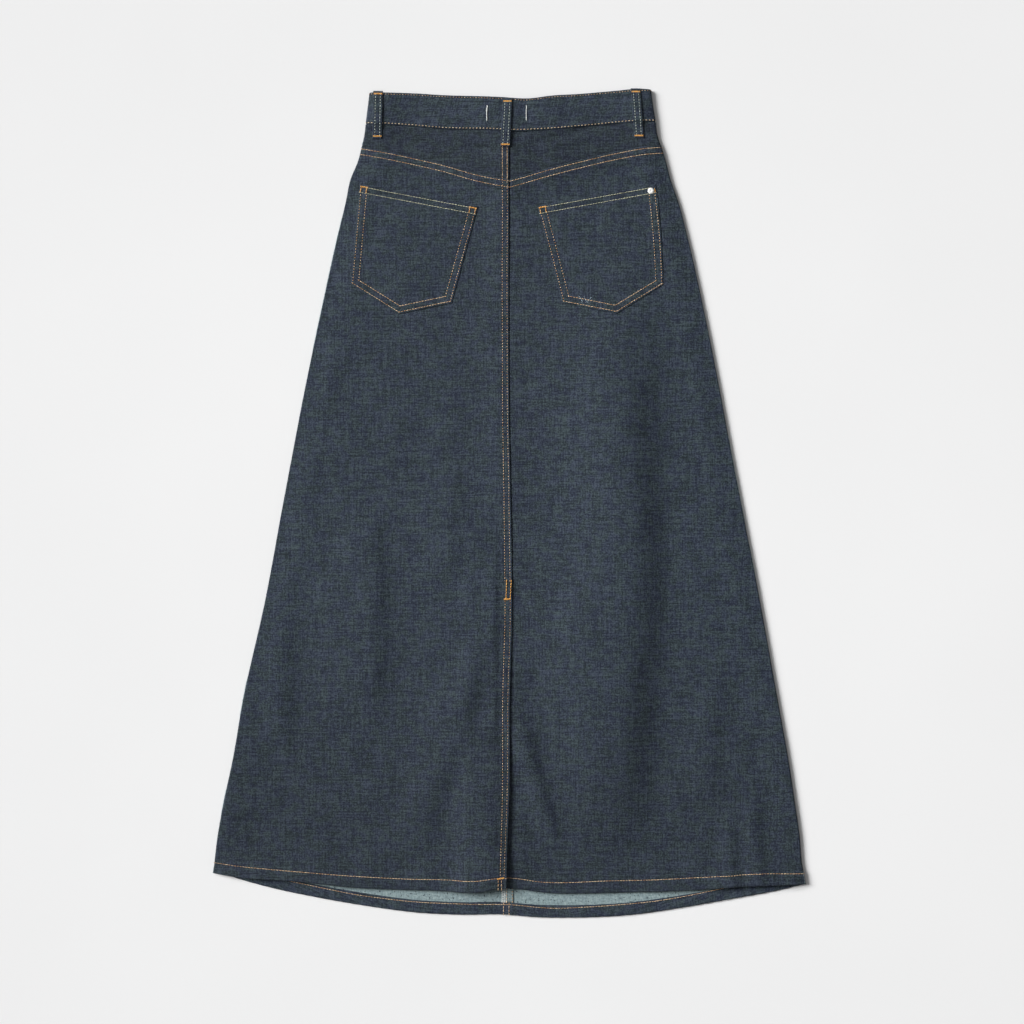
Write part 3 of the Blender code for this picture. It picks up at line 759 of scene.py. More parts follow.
# %% Thread and metal materials
def object_noise(tree, scale, detail=2.0):
    """Noise on the object's own coordinates."""
    place = add_node(tree, "ShaderNodeTexCoord").outputs["Object"]
    inputs = {"Vector": place, "Scale": scale, "Detail": detail}
    return add_node(tree, "ShaderNodeTexNoise", inputs).outputs[0]


def spun_thread(name, shade, light):
    """Core-spun polyester: a mid roughness, and a little sheen from its loose fibres."""
    made, tree, shader = new_material(name)
    tone = add_node(tree, "ShaderNodeAttribute", attribute_name="tone").outputs["Fac"]
    mixed = math_node(tree, "MULTIPLY_ADD", object_noise(tree, 1800.0), 0.35, tone)
    colour = colour_steps(tree, mixed, [(0.1, shade), (1.0, light)])
    tree.links.new(colour, shader.inputs["Base Color"])
    shader.inputs["Roughness"].default_value = 0.55
    shader.inputs["Sheen Weight"].default_value = 0.15
    return made


def enamelled_cap():
    """White baked enamel on a brass cap: smooth and glossy, a little uneven from the press."""
    made, tree, shader = new_material("white_enamelled_brass")
    white = colour_steps(tree, object_noise(tree, 700.0), [(0.3, "#E4E4DF"), (0.7, "#F6F6F3")])
    tree.links.new(white, shader.inputs["Base Color"])
    shader.inputs["Roughness"].default_value = 0.28
    return made


def nickel_plate():
    """Nickel-plated brass, satin from tumbling, on the jeans button."""
    made, tree, shader = new_material("nickel_plated_brass")
    scuffs = object_noise(tree, 500.0, detail=4.0)
    rough = add_node(tree, "ShaderNodeMapRange", {0: scuffs, 3: 0.25, 4: 0.45}).outputs[0]
    tree.links.new(rough, shader.inputs["Roughness"])
    shader.inputs["Base Color"].default_value = linear("#B4B2AC")
    shader.inputs["Metallic"].default_value = 1.0
    return made


ochre_thread = spun_thread("ochre_topstitch_thread", "#9C6A34", "#E8C8A2")
tan_thread = spun_thread("tan_topstitch_thread", "#A88C6E", "#DCC4A4")
khaki_thread = spun_thread("khaki_topstitch_thread", "#8F8E74", "#C9C8AC")
grey_thread = spun_thread("grey_green_topstitch_thread", "#848E86", "#BFC9BE")
orange_thread = spun_thread("orange_bartack_thread", "#C88A34", "#F0B45C")
white_thread = spun_thread("white_overlock_thread", "#D2D6D2", "#F6F8F6")
pale_blue_thread = spun_thread("pale_blue_loose_thread", "#7F98A6", "#B9CCD6")
white_enamel = enamelled_cap()
nickel = nickel_plate()


# %% Cloth piece from a grid
def add_object(name, data):
    """Puts a mesh, a light or a camera in the scene."""
    made = bpy.data.objects.new(name, data)
    bpy.context.scene.collection.objects.link(made)
    return made


def piece_of_cloth(name, points, flat, wall=CLOTH, keep=None, two_faced=True, face=denim_face):
    """A mesh from a grid, thickened away from its outer side, with its cut as its UV map."""
    rows, columns = points.shape[:2]
    index = np.arange(rows * columns).reshape(rows, columns)
    corners = (index[:-1, :-1], index[:-1, 1:], index[1:, 1:], index[1:, :-1])
    faces = np.stack(corners, axis=2).reshape(-1, 4)
    if keep is not None:
        faces = faces[keep.reshape(-1)]
    used, faces = np.unique(faces, return_inverse=True)
    faces = faces.reshape(-1, 4)
    mesh = bpy.data.meshes.new(name)
    mesh.from_pydata((points.reshape(-1, 3)[used] * MM).tolist(), [], faces.tolist())
    cut = flat.reshape(-1, 2)[used] * MM
    mesh.uv_layers.new(name="cut").data.foreach_set("uv", cut[faces.reshape(-1)].reshape(-1))
    mesh.materials.append(face)
    mesh.materials.append(weft_side)
    mesh.shade_smooth()
    made = add_object(name, mesh)
    thick = made.modifiers.new("two faces of the cloth", "SOLIDIFY")
    thick.thickness = wall * MM
    thick.offset = -1.0
    thick.use_quality_normals = True
    thick.material_offset = 1 if two_faced else 0
    a, b, c, d = (cut[faces[:, k]] for k in range(4))
    one, other = c - a, d - b
    area = 0.5 * np.abs(one[:, 0] * other[:, 1] - one[:, 1] * other[:, 0]).sum()
    size = cut.max(axis=0) - cut.min(axis=0)
    made["cut_size"], made["cut_area"] = size.tolist(), float(area)
    print(f"{name}: {len(faces)} faces, cut {size[0] * 1000:.0f} x {size[1] * 1000:.0f} mm")
    return made


# %% [markdown]
# ## The back panels
#
# Each back panel runs from a side fold to the centre seam, and from the yoke to the hem. At the
# side the cloth rolls over in a round fold, and the hem is turned under. Down the centre the left
# panel's folded edge laps over the right panel: as a sewn seam above, and as the free edge of a
# vent below, where the right panel continues under it. The columns crowd together at the centre so
# that the folded edge and both rows of stitches have lines of their own.

# %% Grid lines of the back panels
SIDE_ROLL = [BACK_ROLL * (1 - math.cos(math.radians(a))) for a in (0, 12, 24, 36, 48, 60, 75, 90)]
AT_SIDE = [*SIDE_ROLL, 4.0, 6.0, 9.0]
AT_EDGE = [0.0, 0.5, 1.0, 1.6, ROW_NEAR, 2.8, 3.6, 5.0, 6.8, 7.8, 8.4, ROW_FAR]
AT_EDGE += [9.4, 10.2, 11.4, 12.6, 14.2, 16.5]
AT_HEM = [HEM_TURN, 2.2, 4.0, 6.2, 8.6, 11.0, 12.1, HEM_STITCH, 13.5, 14.3, HEM_DEPTH, 17.0, 19.5]


def side_roll(inset, radius):
    """How far the outer side has turned down at a distance in from the side fold."""
    inside = np.clip(radius - inset, 0.0, radius)
    return radius - np.sqrt(radius**2 - inside**2)


def back_points(x, y, surface):
    radius = np.minimum(BACK_ROLL, side_top(y) - SIDE_SEAM - 0.1)
    inset = np.maximum(inset_of(x, y), 0.0)
    return np.stack((x, y, surface(x, y) - side_roll(inset, radius)), axis=2)


def with_side_seam(points, column):
    """Adds a last column that tucks the edge into the side seam."""
    edge = points[:, column].copy()
    inwards = np.sign(-edge[:, :1])
    seam = edge.copy()
    seam[:, :1] += 0.5 * inwards
    seam[:, 2] = SIDE_SEAM + (0.02 if edge[:, 2].mean() > SIDE_SEAM else -0.02)
    mid = edge.copy()
    mid[:, 2] = 0.45 * edge[:, 2] + 0.55 * seam[:, 2]
    extra = [seam[:, None], mid[:, None]]
    if column == 0:
        return np.concatenate((*extra, points), axis=1)
    return np.concatenate((points, *reversed(extra)), axis=1)


def beside(edge, by):
    """A line beside a seam or an edge, by so many millimetres."""
    return lambda place: edge(place) + by


# %% Left back panel
across = grid_lines(AT_SIDE, 58, AT_EDGE)
along = grid_lines(AT_HEM, 205, AT_EDGE)
x, y = cut_grid(
    across, along, left_side, beside(back_centre, -FOLDED_EDGE), back_hem, beside(yoke_seam, -FOLDED_EDGE)
)
points = with_side_seam(back_points(x, y, left_back_surface), 0)
points, turned_columns = folded_under(points, "right", FOLDED_EDGE, TURNED_IN)
points, turned_top = folded_under(points, "top", FOLDED_EDGE, TURNED_IN)
points, turned_hem = folded_under(points, "bottom", HEM_TURN, HEM_DEPTH)


def without_corners(shape, columns, top, bottom):
    """Leaves out the cells where two folded edges would cross inside the cloth."""
    keep = np.ones((shape[0] - 1, shape[1] - 1), bool)
    keep[:bottom, 2 - columns :] = False
    keep[len(keep) - top :, 2 - columns :] = False
    return keep


keep = without_corners(points.shape, turned_columns, turned_top, turned_hem)
flat = flat_cut(points)
denim_back_left = piece_of_cloth("denim_back_left", points, flat, keep=keep)

# %% Right back panel, with the vent's underlap
UNDER = [-UNDERLAP, -27.0, -18.0, -9.0, -5.0, -1.0, 0.1, 0.8, 1.8, 3.0, 6.0, 10.0, 15.0]
across = grid_lines(UNDER, 58, AT_SIDE)
x, y = cut_grid(across, along, back_centre, right_side, back_hem, beside(yoke_seam, -FOLDED_EDGE))
points = with_side_seam(back_points(x, y, right_back_surface), len(across) - 1)
keep_rows = 0.25 * (y[:-1, :1] + y[1:, :1] + y[:-1, 1:2] + y[1:, 1:2]) < VENT_TOP
points, turned_top = folded_under(points, "top", FOLDED_EDGE, TURNED_IN)
points, turned_hem = folded_under(points, "bottom", HEM_TURN, HEM_DEPTH)
keep = np.ones((points.shape[0] - 1, points.shape[1] - 1), bool)
low = np.zeros(len(keep), bool)
low[: turned_hem + int(keep_rows.sum())] = True
keep[~low, :3] = False
flat = flat_cut(points) + (700.0, 0.0)
denim_back_right = piece_of_cloth("denim_back_right", points, flat, keep=keep)

# %% [markdown]
# ## The yokes
#
# A yoke is what shapes the seat of a pair of jeans without darts: a shallow V between the
# waistband and the panels. Its lower edge lies under the panels and its upper edge under the
# waistband, so the grid runs a little way past both seams and sinks below them there.

# %% Yokes
UNDER_PANEL = [-8.0, -4.0, -1.0, 0.1, 0.8, 1.8, 3.0]


def tucked(points, x, y):
    """Sinks a yoke where the panel below or the waistband above covers it beside the side fold."""
    covered = np.maximum(ramp(y - yoke_seam(x), 1.0, -1.0), ramp(back_waist_seam(x) - y, 1.0, -1.0))
    depth = (LAP + 0.1) * covered * ramp(inset_of(x, y), 12.0, 0.0)
    return points - normals_of(points) * depth[..., None]


def yoke_surface(x, y):
    return back_surface(x, y) + 0.6 * ditch(y - yoke_seam(x)) * ramp(inset_of(x, y), 2.0, 9.0)


def yoke_surface_left(x, y):
    from_edge = back_centre(y) - x
    open_part = ramp(y - yoke_seam(x), -0.5, 3.0) * ramp(back_waist_seam(x) - y, -0.5, 3.0)
    return yoke_surface(x, y) + (centre_lap(from_edge) + centre_grooves(from_edge, y)) * open_part


def yoke_surface_right(x, y):
    from_centre = x - back_centre(y)
    return yoke_surface(x, y) + ditch(from_centre) + centre_dip(from_centre)


along = [(0.0, d) for d in UNDER_PANEL] + [(k / 12, 3.0 - 6.0 * k / 12) for k in range(1, 12)]
along += [(1.0, d) for d in (-3.0, -1.8, -0.8, -0.1, 1.0, 5.0)]
across = grid_lines(AT_SIDE, 30, AT_EDGE)
x, y = cut_grid(across, along, left_side, beside(back_centre, -FOLDED_EDGE), yoke_seam, back_waist_seam)
points = tucked(back_points(x, y, yoke_surface_left), x, y)
points = with_side_seam(points, 0)
points, turned_columns = folded_under(points, "right", FOLDED_EDGE, TURNED_IN)
flat = flat_cut(points) + (0.0, 700.0)
denim_yoke_left = piece_of_cloth("denim_yoke_left", points, flat, face=painted_shade_denim_crosswise)

across = grid_lines([-8.0, -4.0, -1.0, 0.1, 0.8, 1.8, 3.0, 6.0], 30, AT_SIDE)
x, y = cut_grid(across, along, back_centre, right_side, yoke_seam, back_waist_seam)
points = tucked(back_points(x, y, yoke_surface_right), x, y)
points = with_side_seam(points, len(across) - 1)
flat = flat_cut(points) + (700.0, 700.0)
denim_yoke_right = piece_of_cloth("denim_yoke_right", points, flat, face=painted_shade_denim_crosswise)

# %% [markdown]
# ## The waistband
#
# One straight strip of denim, folded double, goes all round the waist and laps over itself at the
# centre front, where the button is. Its grid has a column for every few millimetres round the
# loop: along the front, up and over the left side fold, across the back, and down the right side.

# %% Waistband
LAP_END = 30.0
BUTTON_LIFT = 1.7
BAND_ROLL = 2.6


def front_lift(x, y):
    """The cloth of the front leaves the surface only where the button lies under it."""
    return FRONT_CLEAR + BUTTON_LIFT * ramp(np.hypot(x - BUTTON_X, y - BUTTON_Y), 62.0, 10.0)


def front_band_height(x, y, inner):
    lap = (BAND_WALL + 0.35) * ramp(x, 75.0, LAP_END + 6.0) if inner else 0.0
    return front_lift(x, y) + lap


BAND_ROWS = [(0.0, d) for d in (0.0, 0.5, 1.2, 1.8, ROW_NEAR, 2.8, 3.6, 5.0)]
BAND_ROWS += [(k / 9, 5.0 - 9.0 * k / 9) for k in range(1, 9)]
BAND_ROWS += [(1.0, -d) for d in (4.0, 2.9, 2.3, 1.9, 1.5, 1.0, 0.45, 0.0)]
shares = np.array([row[0] for row in BAND_ROWS])[:, None]
offsets = np.array([row[1] for row in BAND_ROWS])[:, None]


def band_part(x_at, seam, edge, height):
    """Part of the band: x_at gives the columns' X at each height, height gives its Z."""
    y = np.full((len(BAND_ROWS), 1), 440.0)
    for _ in range(8):
        x = x_at(y)
        y = seam(x) * (1 - shares) + edge(x) * shares + offsets
    return np.stack((x, y + 0 * x, height(x, y)), axis=2)


def side_turn(side, inwards, angles, upper):
    """A quarter turn of the band round a side fold."""
    turn = np.radians(np.array(angles, float))[None, :]
    middle = 6.2 - BAND_ROLL if upper else BAND_ROLL + FRONT_CLEAR

    def x_at(y):
        return side(y) + inwards * BAND_ROLL * (1 - np.cos(turn)) + 0 * y

    def height(x, y):
        return middle + (1 if upper else -1) * BAND_ROLL * np.sin(turn) + 0 * y

    return band_part(x_at, back_waist_seam, back_top_edge, height)


def band_back_x(y):
    share = np.linspace(0.0, 1.0, 92)[None, :]
    start, end = left_side(y) + 3.4, right_side(y) - 3.4
    return start + (end - start) * share


def band_front_x(start, end, count):
    """Columns from one place to another, either of which may be a side fold."""
    share = np.linspace(0.0, 1.0, count)[None, :]

    def x_at(y):
        first = start(y) if callable(start) else start + 0 * y
        last = end(y) if callable(end) else end + 0 * y
        return first + (last - first) * share

    return x_at


ANGLES = (0, 15, 30, 45, 60, 75)
parts = [
    band_part(
        band_front_x(LAP_END, beside(left_side, 3.4), 44), front_waist_seam, front_top_edge,
        lambda x, y: front_band_height(x, y, False),
    ),
    side_turn(left_side, 1, ANGLES[::-1], False),
    side_turn(left_side, 1, ANGLES, True),
    band_part(band_back_x, back_waist_seam, back_top_edge, band_surface),
    side_turn(right_side, -1, ANGLES[::-1], True),
    side_turn(right_side, -1, ANGLES, False),
    band_part(
        band_front_x(beside(right_side, -3.4), 0.0, 40), front_waist_seam, front_top_edge,
        lambda x, y: front_band_height(x, y, True),
    ),
]  # fmt: skip
band = np.concatenate(parts, axis=1)
band_normal = normals_of(band)
for row, sink in ((-1, 0.7), (-2, 0.22), (0, 1.15), (1, 0.75), (2, 0.4), (3, 0.15)):
    band[row] -= band_normal[row] * sink
flat = flat_cut(band) + (0.0, 900.0)
step = np.linalg.norm(np.diff(band, axis=1), axis=2)
flat[..., 0] = np.concatenate((np.zeros((len(band), 1)), np.cumsum(step, axis=1)), axis=1)
denim_waistband = piece_of_cloth("denim_waistband", band, flat, wall=BAND_WALL, two_faced=False)
print(f"the waistband is {flat[0, -1, 0]:.0f} mm long with its lap")

# %% [markdown]
# ## The patch pockets
#
# A jeans pocket is a patch with a pointed bottom, its edges turned in, laid on the panel and sewn
# round with two rows. Here the patch's grid runs from the pocket's bottom, with its three corners,
# up to the mouth. It takes its height from the panel under it and stands the thickness of its
# turned edge above that, a little fuller in the middle, where a pocket of stiff cloth stays open.

# %% Pockets
Pocket = namedtuple("Pocket", "name left_top right_top right_low point left_low bow")
POCKETS = [
    Pocket("pocket_left", (-170.7, 363.9), (-35.7, 338.2), (-65.7, 228.0), (-126.5, 215.2),
           (-181.1, 249.3), 0.0),
    Pocket("pocket_right", (31.6, 338.9), (166.9, 363.4), (174.9, 248.6), (122.4, 215.7),
           (60.2, 228.1), 1.7),
]  # fmt: skip
POCKET_WALL = 1.15
POCKET_EDGE = 0.95  # how far the turned edge stands above the panel
NEAR_EDGE = [0.0, 0.4, 1.0, 1.8, ROW_NEAR, 2.9, 4.5, 6.5, 7.8, 8.4, ROW_FAR, 9.5, 10.5, 12.5, 16.0]


def pocket_outline(pocket):
    """The outline as corners, from the left of the mouth round the bottom to its right."""
    corners = (pocket.left_top, pocket.left_low, pocket.point, pocket.right_low, pocket.right_top)
    return [np.array(c) for c in corners]


def distance_inside(x, y, corners):
    """The distance from the nearest side of a closed outline."""
    nearest = np.full(np.shape(x), 1e9)
    for a, b in zip(corners, [*corners[1:], corners[0]]):
        run = b - a
        t = np.clip(((x - a[0]) * run[0] + (y - a[1]) * run[1]) / (run @ run), 0.0, 1.0)
        nearest = np.minimum(nearest, np.hypot(x - a[0] - t * run[0], y - a[1] - t * run[1]))
    return nearest


def pocket_surface(pocket):
    corners = pocket_outline(pocket)

    def surface(x, y):
        inside = distance_inside(x, y, corners)
        sewn = groove(inside - ROW_NEAR) + groove(inside - ROW_FAR)
        slack = 0.35 * ramp(inside, 12.0, 40.0) - 0.12 * ramp(np.abs(inside - 12.0), 4.0, 0.0)
        edge = -0.45 * ramp(inside, 0.9, 0.0)
        return back_surface(x, y) + POCKET_EDGE + sewn + slack + edge

    return surface


def crowded(size, count):
    """Shares from 0 to 1 that crowd together at both edges of a pocket of that size."""
    near = [d / size for d in NEAR_EDGE]
    between = np.linspace(near[-1], 1 - near[-1], count)[1:-1]
    return np.array([*near, *between, *(1 - d for d in reversed(near))])


def build_pocket(pocket, shift):
    left_top, left_low, point, right_low, right_top = pocket_outline(pocket)
    width, depth = 125.0, 135.0
    share, up = crowded(width, 26), crowded(depth, 30)[:, None]
    share[np.argmin(np.abs(share - 0.5))] = 0.5
    share = share[None, :, None]
    low = np.where(share <= 0.5, left_low + (point - left_low) * share * 2,
                   point + (right_low - point) * (share - 0.5) * 2)  # fmt: skip
    high = left_top + (right_top - left_top) * share
    place = low + (high - low) * up[..., None]
    x, y = place[..., 0] + pocket.bow * share[..., 0] * 4 * up * (1 - up), place[..., 1]
    points = np.stack((x, y, pocket_surface(pocket)(x, y)), axis=2)
    flat = points[..., :2] + shift
    return piece_of_cloth(f"denim_{pocket.name}", points, flat, wall=POCKET_WALL, two_faced=False)


pockets = [build_pocket(pocket, shift) for pocket, shift in zip(POCKETS, ((311.0, -97.0), (-523.0, 141.0)))]

# %% [markdown]
# ## The belt loops
#
# A belt loop is a narrow strip folded in three and sewn down both sides. Its ends are turned in
# and held by bartacks, and it stands a little off the waistband between them, where a belt goes.

# %% Belt loops
Loop = namedtuple("Loop", "name x_high y_high x_low y_low tack_high tack_low")
LOOPS = [
    Loop("belt_loop_left", -149.7, 469.4, -150.7, 415.1, 3.2, 2.9),
    Loop("belt_loop_centre", -2.1, 461.0, -4.9, 406.0, 3.5, 2.1),
    Loop("belt_loop_right", 143.6, 472.3, 147.7, 416.4, 3.7, 2.3),
]
LOOP_WIDTH = 11.1
LOOP_WALL = 1.2
LOOP_ROW = 2.8  # each row of stitches from the loop's middle


def under_loop(x, y):
    on_band = ramp(y - back_waist_seam(x), -4.0, 1.5)
    seam = centre_lap(back_centre(y) - x) * (x < back_centre(y) + 1.0)
    return back_surface(x, np.minimum(y, back_top_edge(x))) + np.maximum(LAP * on_band, seam)


def loop_points(loop, across, up):
    """Points of a loop's outer side; across is in millimetres from its middle."""
    middle_x = loop.x_low + (loop.x_high - loop.x_low) * up
    y = loop.y_low + (loop.y_high - loop.y_low) * up
    x = middle_x + across
    length = loop.y_high - loop.y_low
    from_end = np.minimum(up, 1 - up) * length
    over = np.maximum(under_loop(middle_x - 4.5, y), under_loop(middle_x + 4.5, y))
    over = np.maximum(over, under_loop(middle_x, y))
    arch = 0.7 * ramp(from_end, 3.5, 19.0)
    tack = np.where(up > 0.5, loop.tack_high, loop.tack_low)
    pinch = -0.4 * ramp(np.abs(from_end - tack), 2.0, 0.0)
    edge = -0.5 * ramp(np.abs(across), LOOP_WIDTH / 2 - 0.7, LOOP_WIDTH / 2)
    edge = edge - 0.5 * ramp(from_end, 0.6, 0.0)
    sewn = groove(np.abs(across) - LOOP_ROW)
    return np.stack((x, y, over + 0.15 + LOOP_WALL + arch + pinch + edge + sewn), axis=-1)


def build_loop(loop, shift):
    half = np.array([0.0, 1.2, 2.2, LOOP_ROW, 3.4, 4.3, 4.9, 5.3, LOOP_WIDTH / 2])
    across = np.concatenate((-half[:0:-1], half))[None, :]
    length = loop.y_high - loop.y_low
    ends = np.array([0.0, 0.3, 0.9, 2.0, 3.0, 4.0, 5.2]) / length
    up = np.concatenate((ends, np.linspace(ends[-1], 1 - ends[-1], 26)[1:-1], 1 - ends[::-1]))[:, None]
    points = loop_points(loop, across + 0 * up, up + 0 * across)
    flat = points[..., :2] + shift
    return piece_of_cloth(f"denim_{loop.name}", points, flat, wall=LOOP_WALL, two_faced=False)


LOOP_SHIFTS = ((41.0, 977.0), (337.0, 1013.0), (613.0, 991.0))
loops = [build_loop(loop, shift) for loop, shift in zip(LOOPS, LOOP_SHIFTS)]

# %% [markdown]
# ## The front
#
# The front panels lie face down, so what shows of them, past the back's hem, is the wrong side of
# the denim and the turned-up hem, whose right side faces up again. One grid gives both: it starts
# at the waist, runs down to the hem, turns over and comes back up for the hem's depth. The centre
# seam's allowance lies on it as a strip of its own.

# %% Front panels
FRONT_AT_CENTRE = [0.0, 0.6, 1.6, 3.5, 8.0, 14.0]


def front_outside(x, y):
    """The right side of the front, which faces down."""
    roll = side_roll(np.maximum(inset_of(x, y), 0.0), FRONT_ROLL)
    return front_lift(x, y) + roll + 0.12 * ramp(np.sin(x / 19.0 + np.sin(y / 27.0)), 0.2, 1.0)


def build_front(half, shift):
    across = grid_lines([*SIDE_ROLL, 4.0, 6.0, 9.0], 96, FRONT_AT_CENTRE)
    along = grid_lines(AT_HEM + [26.0], 110, [0.0, 6.0])
    sides = (left_side, beside(front_centre, -0.03))
    if half == "right":
        across, sides = mirrored(across), (beside(front_centre, 0.03), right_side)
    x, y = cut_grid(across, along, *sides, front_hem, front_waist_seam)
    points = np.stack((x, y, front_outside(x, y)), axis=2)
    points = with_side_seam(points, 0 if half == "left" else points.shape[1] - 1)[:, ::-1]
    at = points[0, :, 0]
    roped = HEM_TURN + 0.1 * np.sin(at / 1.9 + 2.0 * np.sin(at / 31.0))
    points, turned = folded_under(points, "bottom", roped[:, None], FRONT_HEM_DEPTH)
    flat = flat_cut(points) + shift
    return piece_of_cloth(f"denim_front_{half}", points, flat)


denim_front_left = build_front("left", (173.0, 1511.0))
denim_front_right = build_front("right", (911.0, 1499.0))

# %% Centre-front seam allowance
ALLOWANCE_LOW = float(front_hem(FRONT_CENTRE)) + HEM_TURN + FRONT_HEM_DEPTH + 0.6


def allowance_surface(x, y):
    """The strip's lower side; its upper side, the wrong side of the cloth, is CLOTH above."""
    return front_outside(x, y) + CLOTH + 0.06


share = np.linspace(0.0, 1.0, 160)[:, None]
y = ALLOWANCE_LOW + (float(front_waist_seam(FRONT_CENTRE)) - 3.0 - ALLOWANCE_LOW) * share
from_seam = np.array([0.3, 1.3, 4.0, 7.0, 9.5, 11.5, 12.8, ALLOWANCE_WIDTH])[None, :]
waver = 0.25 * np.sin(y / 9.0) * ramp(from_seam, 9.0, ALLOWANCE_WIDTH)
x = FRONT_CENTRE - from_seam + waver
points = np.stack((x, y + 0 * x, allowance_surface(x, y + 0 * x)), axis=2)
flat = flat_cut(points, 0, 0) + (57.0, 2213.0)
denim_allowance = piece_of_cloth("denim_front_allowance", points, flat)

# %% [markdown]
# ## Stitching with Geometry Nodes
#
# There are thousands of stitches on this skirt, so they come from one Geometry Nodes tree
# that is used again and again with other numbers. It takes a path with a direction away from the
# cloth at every point, cuts the path into stitch lengths, and lays an arched, tapering piece of
# thread on each. Turned across the path and set close together, the same stitch makes a bartack or
# the rungs of an overlocked edge. An array modifier could follow a curve too, but every copy would
# be the same; here each stitch gets its own small turn, size and tone.


# %% The stitch tree
NUMBERS = ("Pitch", "Length", "Radius", "Rise", "Turn", "Unevenness")
STITCH_INPUTS = dict.fromkeys(NUMBERS, "NodeSocketFloat")
STITCH_INPUTS |= {"Seed": "NodeSocketInt", "Material": "NodeSocketMaterial"}


def stitch_shape(tree, given):
    """One stitch: an arch of thread whose ends sink into the cloth and grow thin."""
    half = math_node(tree, "MULTIPLY", given["Length"], 0.5)
    start = add_node(tree, "ShaderNodeCombineXYZ", {"X": math_node(tree, "MULTIPLY", half, -1.0)})
    end = add_node(tree, "ShaderNodeCombineXYZ", {"X": half})
    top = add_node(tree, "ShaderNodeCombineXYZ", {"Z": math_node(tree, "MULTIPLY", given["Rise"], 2.0)})
    arch = add_node(
        tree,
        "GeometryNodeCurveQuadraticBezier",
        {"Resolution": 4, "Start": start.outputs[0], "Middle": top.outputs[0], "End": end.outputs[0]},
    )
    along = add_node(tree, "GeometryNodeSplineParameter").outputs["Factor"]
    from_middle = math_node(tree, "ABSOLUTE", math_node(tree, "MULTIPLY_ADD", along, 2.0, -1.0))
    taper = math_node(tree, "MULTIPLY", math_node(tree, "POWER", from_middle, 3.0), -0.5)
    ring = add_node(tree, "GeometryNodeCurvePrimitiveCircle", {"Resolution": 5, "Radius": given["Radius"]})
    thread = {"Curve": arch.outputs[0], "Profile Curve": ring.outputs[0], "Fill Caps": True}
    thread["Scale"] = math_node(tree, "ADD", taper, 1.0)
    return add_node(tree, "GeometryNodeCurveToMesh", thread).outputs[0]


def random_value(tree, kind, least, most, seed):
    """A random number or vector for each instance."""
    at = 2 if kind == "FLOAT" else 0
    made = add_node(
        tree, "FunctionNodeRandomValue", {at: least, at + 1: most, "Seed": seed}, data_type=kind
    )
    return made.outputs[1 if kind == "FLOAT" else 0]


def stitch_tree():
    tree = bpy.data.node_groups.new("stitches along a path", "GeometryNodeTree")
    tree.interface.new_socket(name="Path", in_out="INPUT", socket_type="NodeSocketGeometry")
    for name, kind in STITCH_INPUTS.items():
        tree.interface.new_socket(name=name, in_out="INPUT", socket_type=kind)
    tree.interface.new_socket(name="Stitches", in_out="OUTPUT", socket_type="NodeSocketGeometry")
    given = add_node(tree, "NodeGroupInput").outputs
    line = add_node(tree, "GeometryNodeMeshToCurve", {"Mesh": given["Path"]})
    points = add_node(
        tree, "GeometryNodeResampleCurve", {"Curve": line.outputs[0], "Length": given["Pitch"]}, mode="LENGTH"
    )
    tangent = add_node(tree, "GeometryNodeInputTangent").outputs[0]
    up = add_node(
        tree, "GeometryNodeInputNamedAttribute", {"Name": "up"}, data_type="FLOAT_VECTOR"
    ).outputs[0]
    along = add_node(tree, "FunctionNodeAlignRotationToVector", {"Vector": tangent}, axis="X")
    upright = add_node(
        tree,
        "FunctionNodeAlignRotationToVector",
        {"Rotation": along.outputs[0], "Vector": up},
        axis="Z",
        pivot_axis="X",
    )
    loose = math_node(tree, "MULTIPLY", given["Unevenness"], -1.0)
    astray = random_value(tree, "FLOAT", loose, given["Unevenness"], given["Seed"])
    turn = math_node(tree, "ADD", given["Turn"], astray)
    about_up = add_node(tree, "FunctionNodeAxisAngleToRotation", {"Axis": (0.0, 0.0, 1.0), "Angle": turn})
    turned = add_node(
        tree,
        "FunctionNodeRotateRotation",
        {"Rotation": upright.outputs[0], "Rotate By": about_up.outputs[0]},
        rotation_space="LOCAL",
    )
    next_seed = math_node(tree, "ADD", given["Seed"], 1.0)
    size = random_value(tree, "FLOAT_VECTOR", (0.9, 0.9, 0.8), (1.08, 1.1, 1.2), next_seed)
    laid = add_node(
        tree,
        "GeometryNodeInstanceOnPoints",
        {
            "Points": points.outputs[0],
            "Instance": stitch_shape(tree, given),
            "Rotation": turned.outputs[0],
            "Scale": size,
        },
    )
    shade = random_value(tree, "FLOAT", 0.0, 1.0, math_node(tree, "ADD", given["Seed"], 2.0))
    toned = add_node(
        tree,
        "GeometryNodeStoreNamedAttribute",
        {"Geometry": laid.outputs[0], "Name": "tone", "Value": shade},
        data_type="FLOAT",
        domain="INSTANCE",
    )
    real = add_node(tree, "GeometryNodeRealizeInstances", {"Geometry": toned.outputs[0]})
    painted = add_node(
        tree, "GeometryNodeSetMaterial", {"Geometry": real.outputs[0], "Material": given["Material"]}
    )
    add_node(tree, "NodeGroupOutput", {"Stitches": painted.outputs[0]})
    return tree


stitches = stitch_tree()
print(f"the stitch tree has {len(stitches.nodes)} nodes")

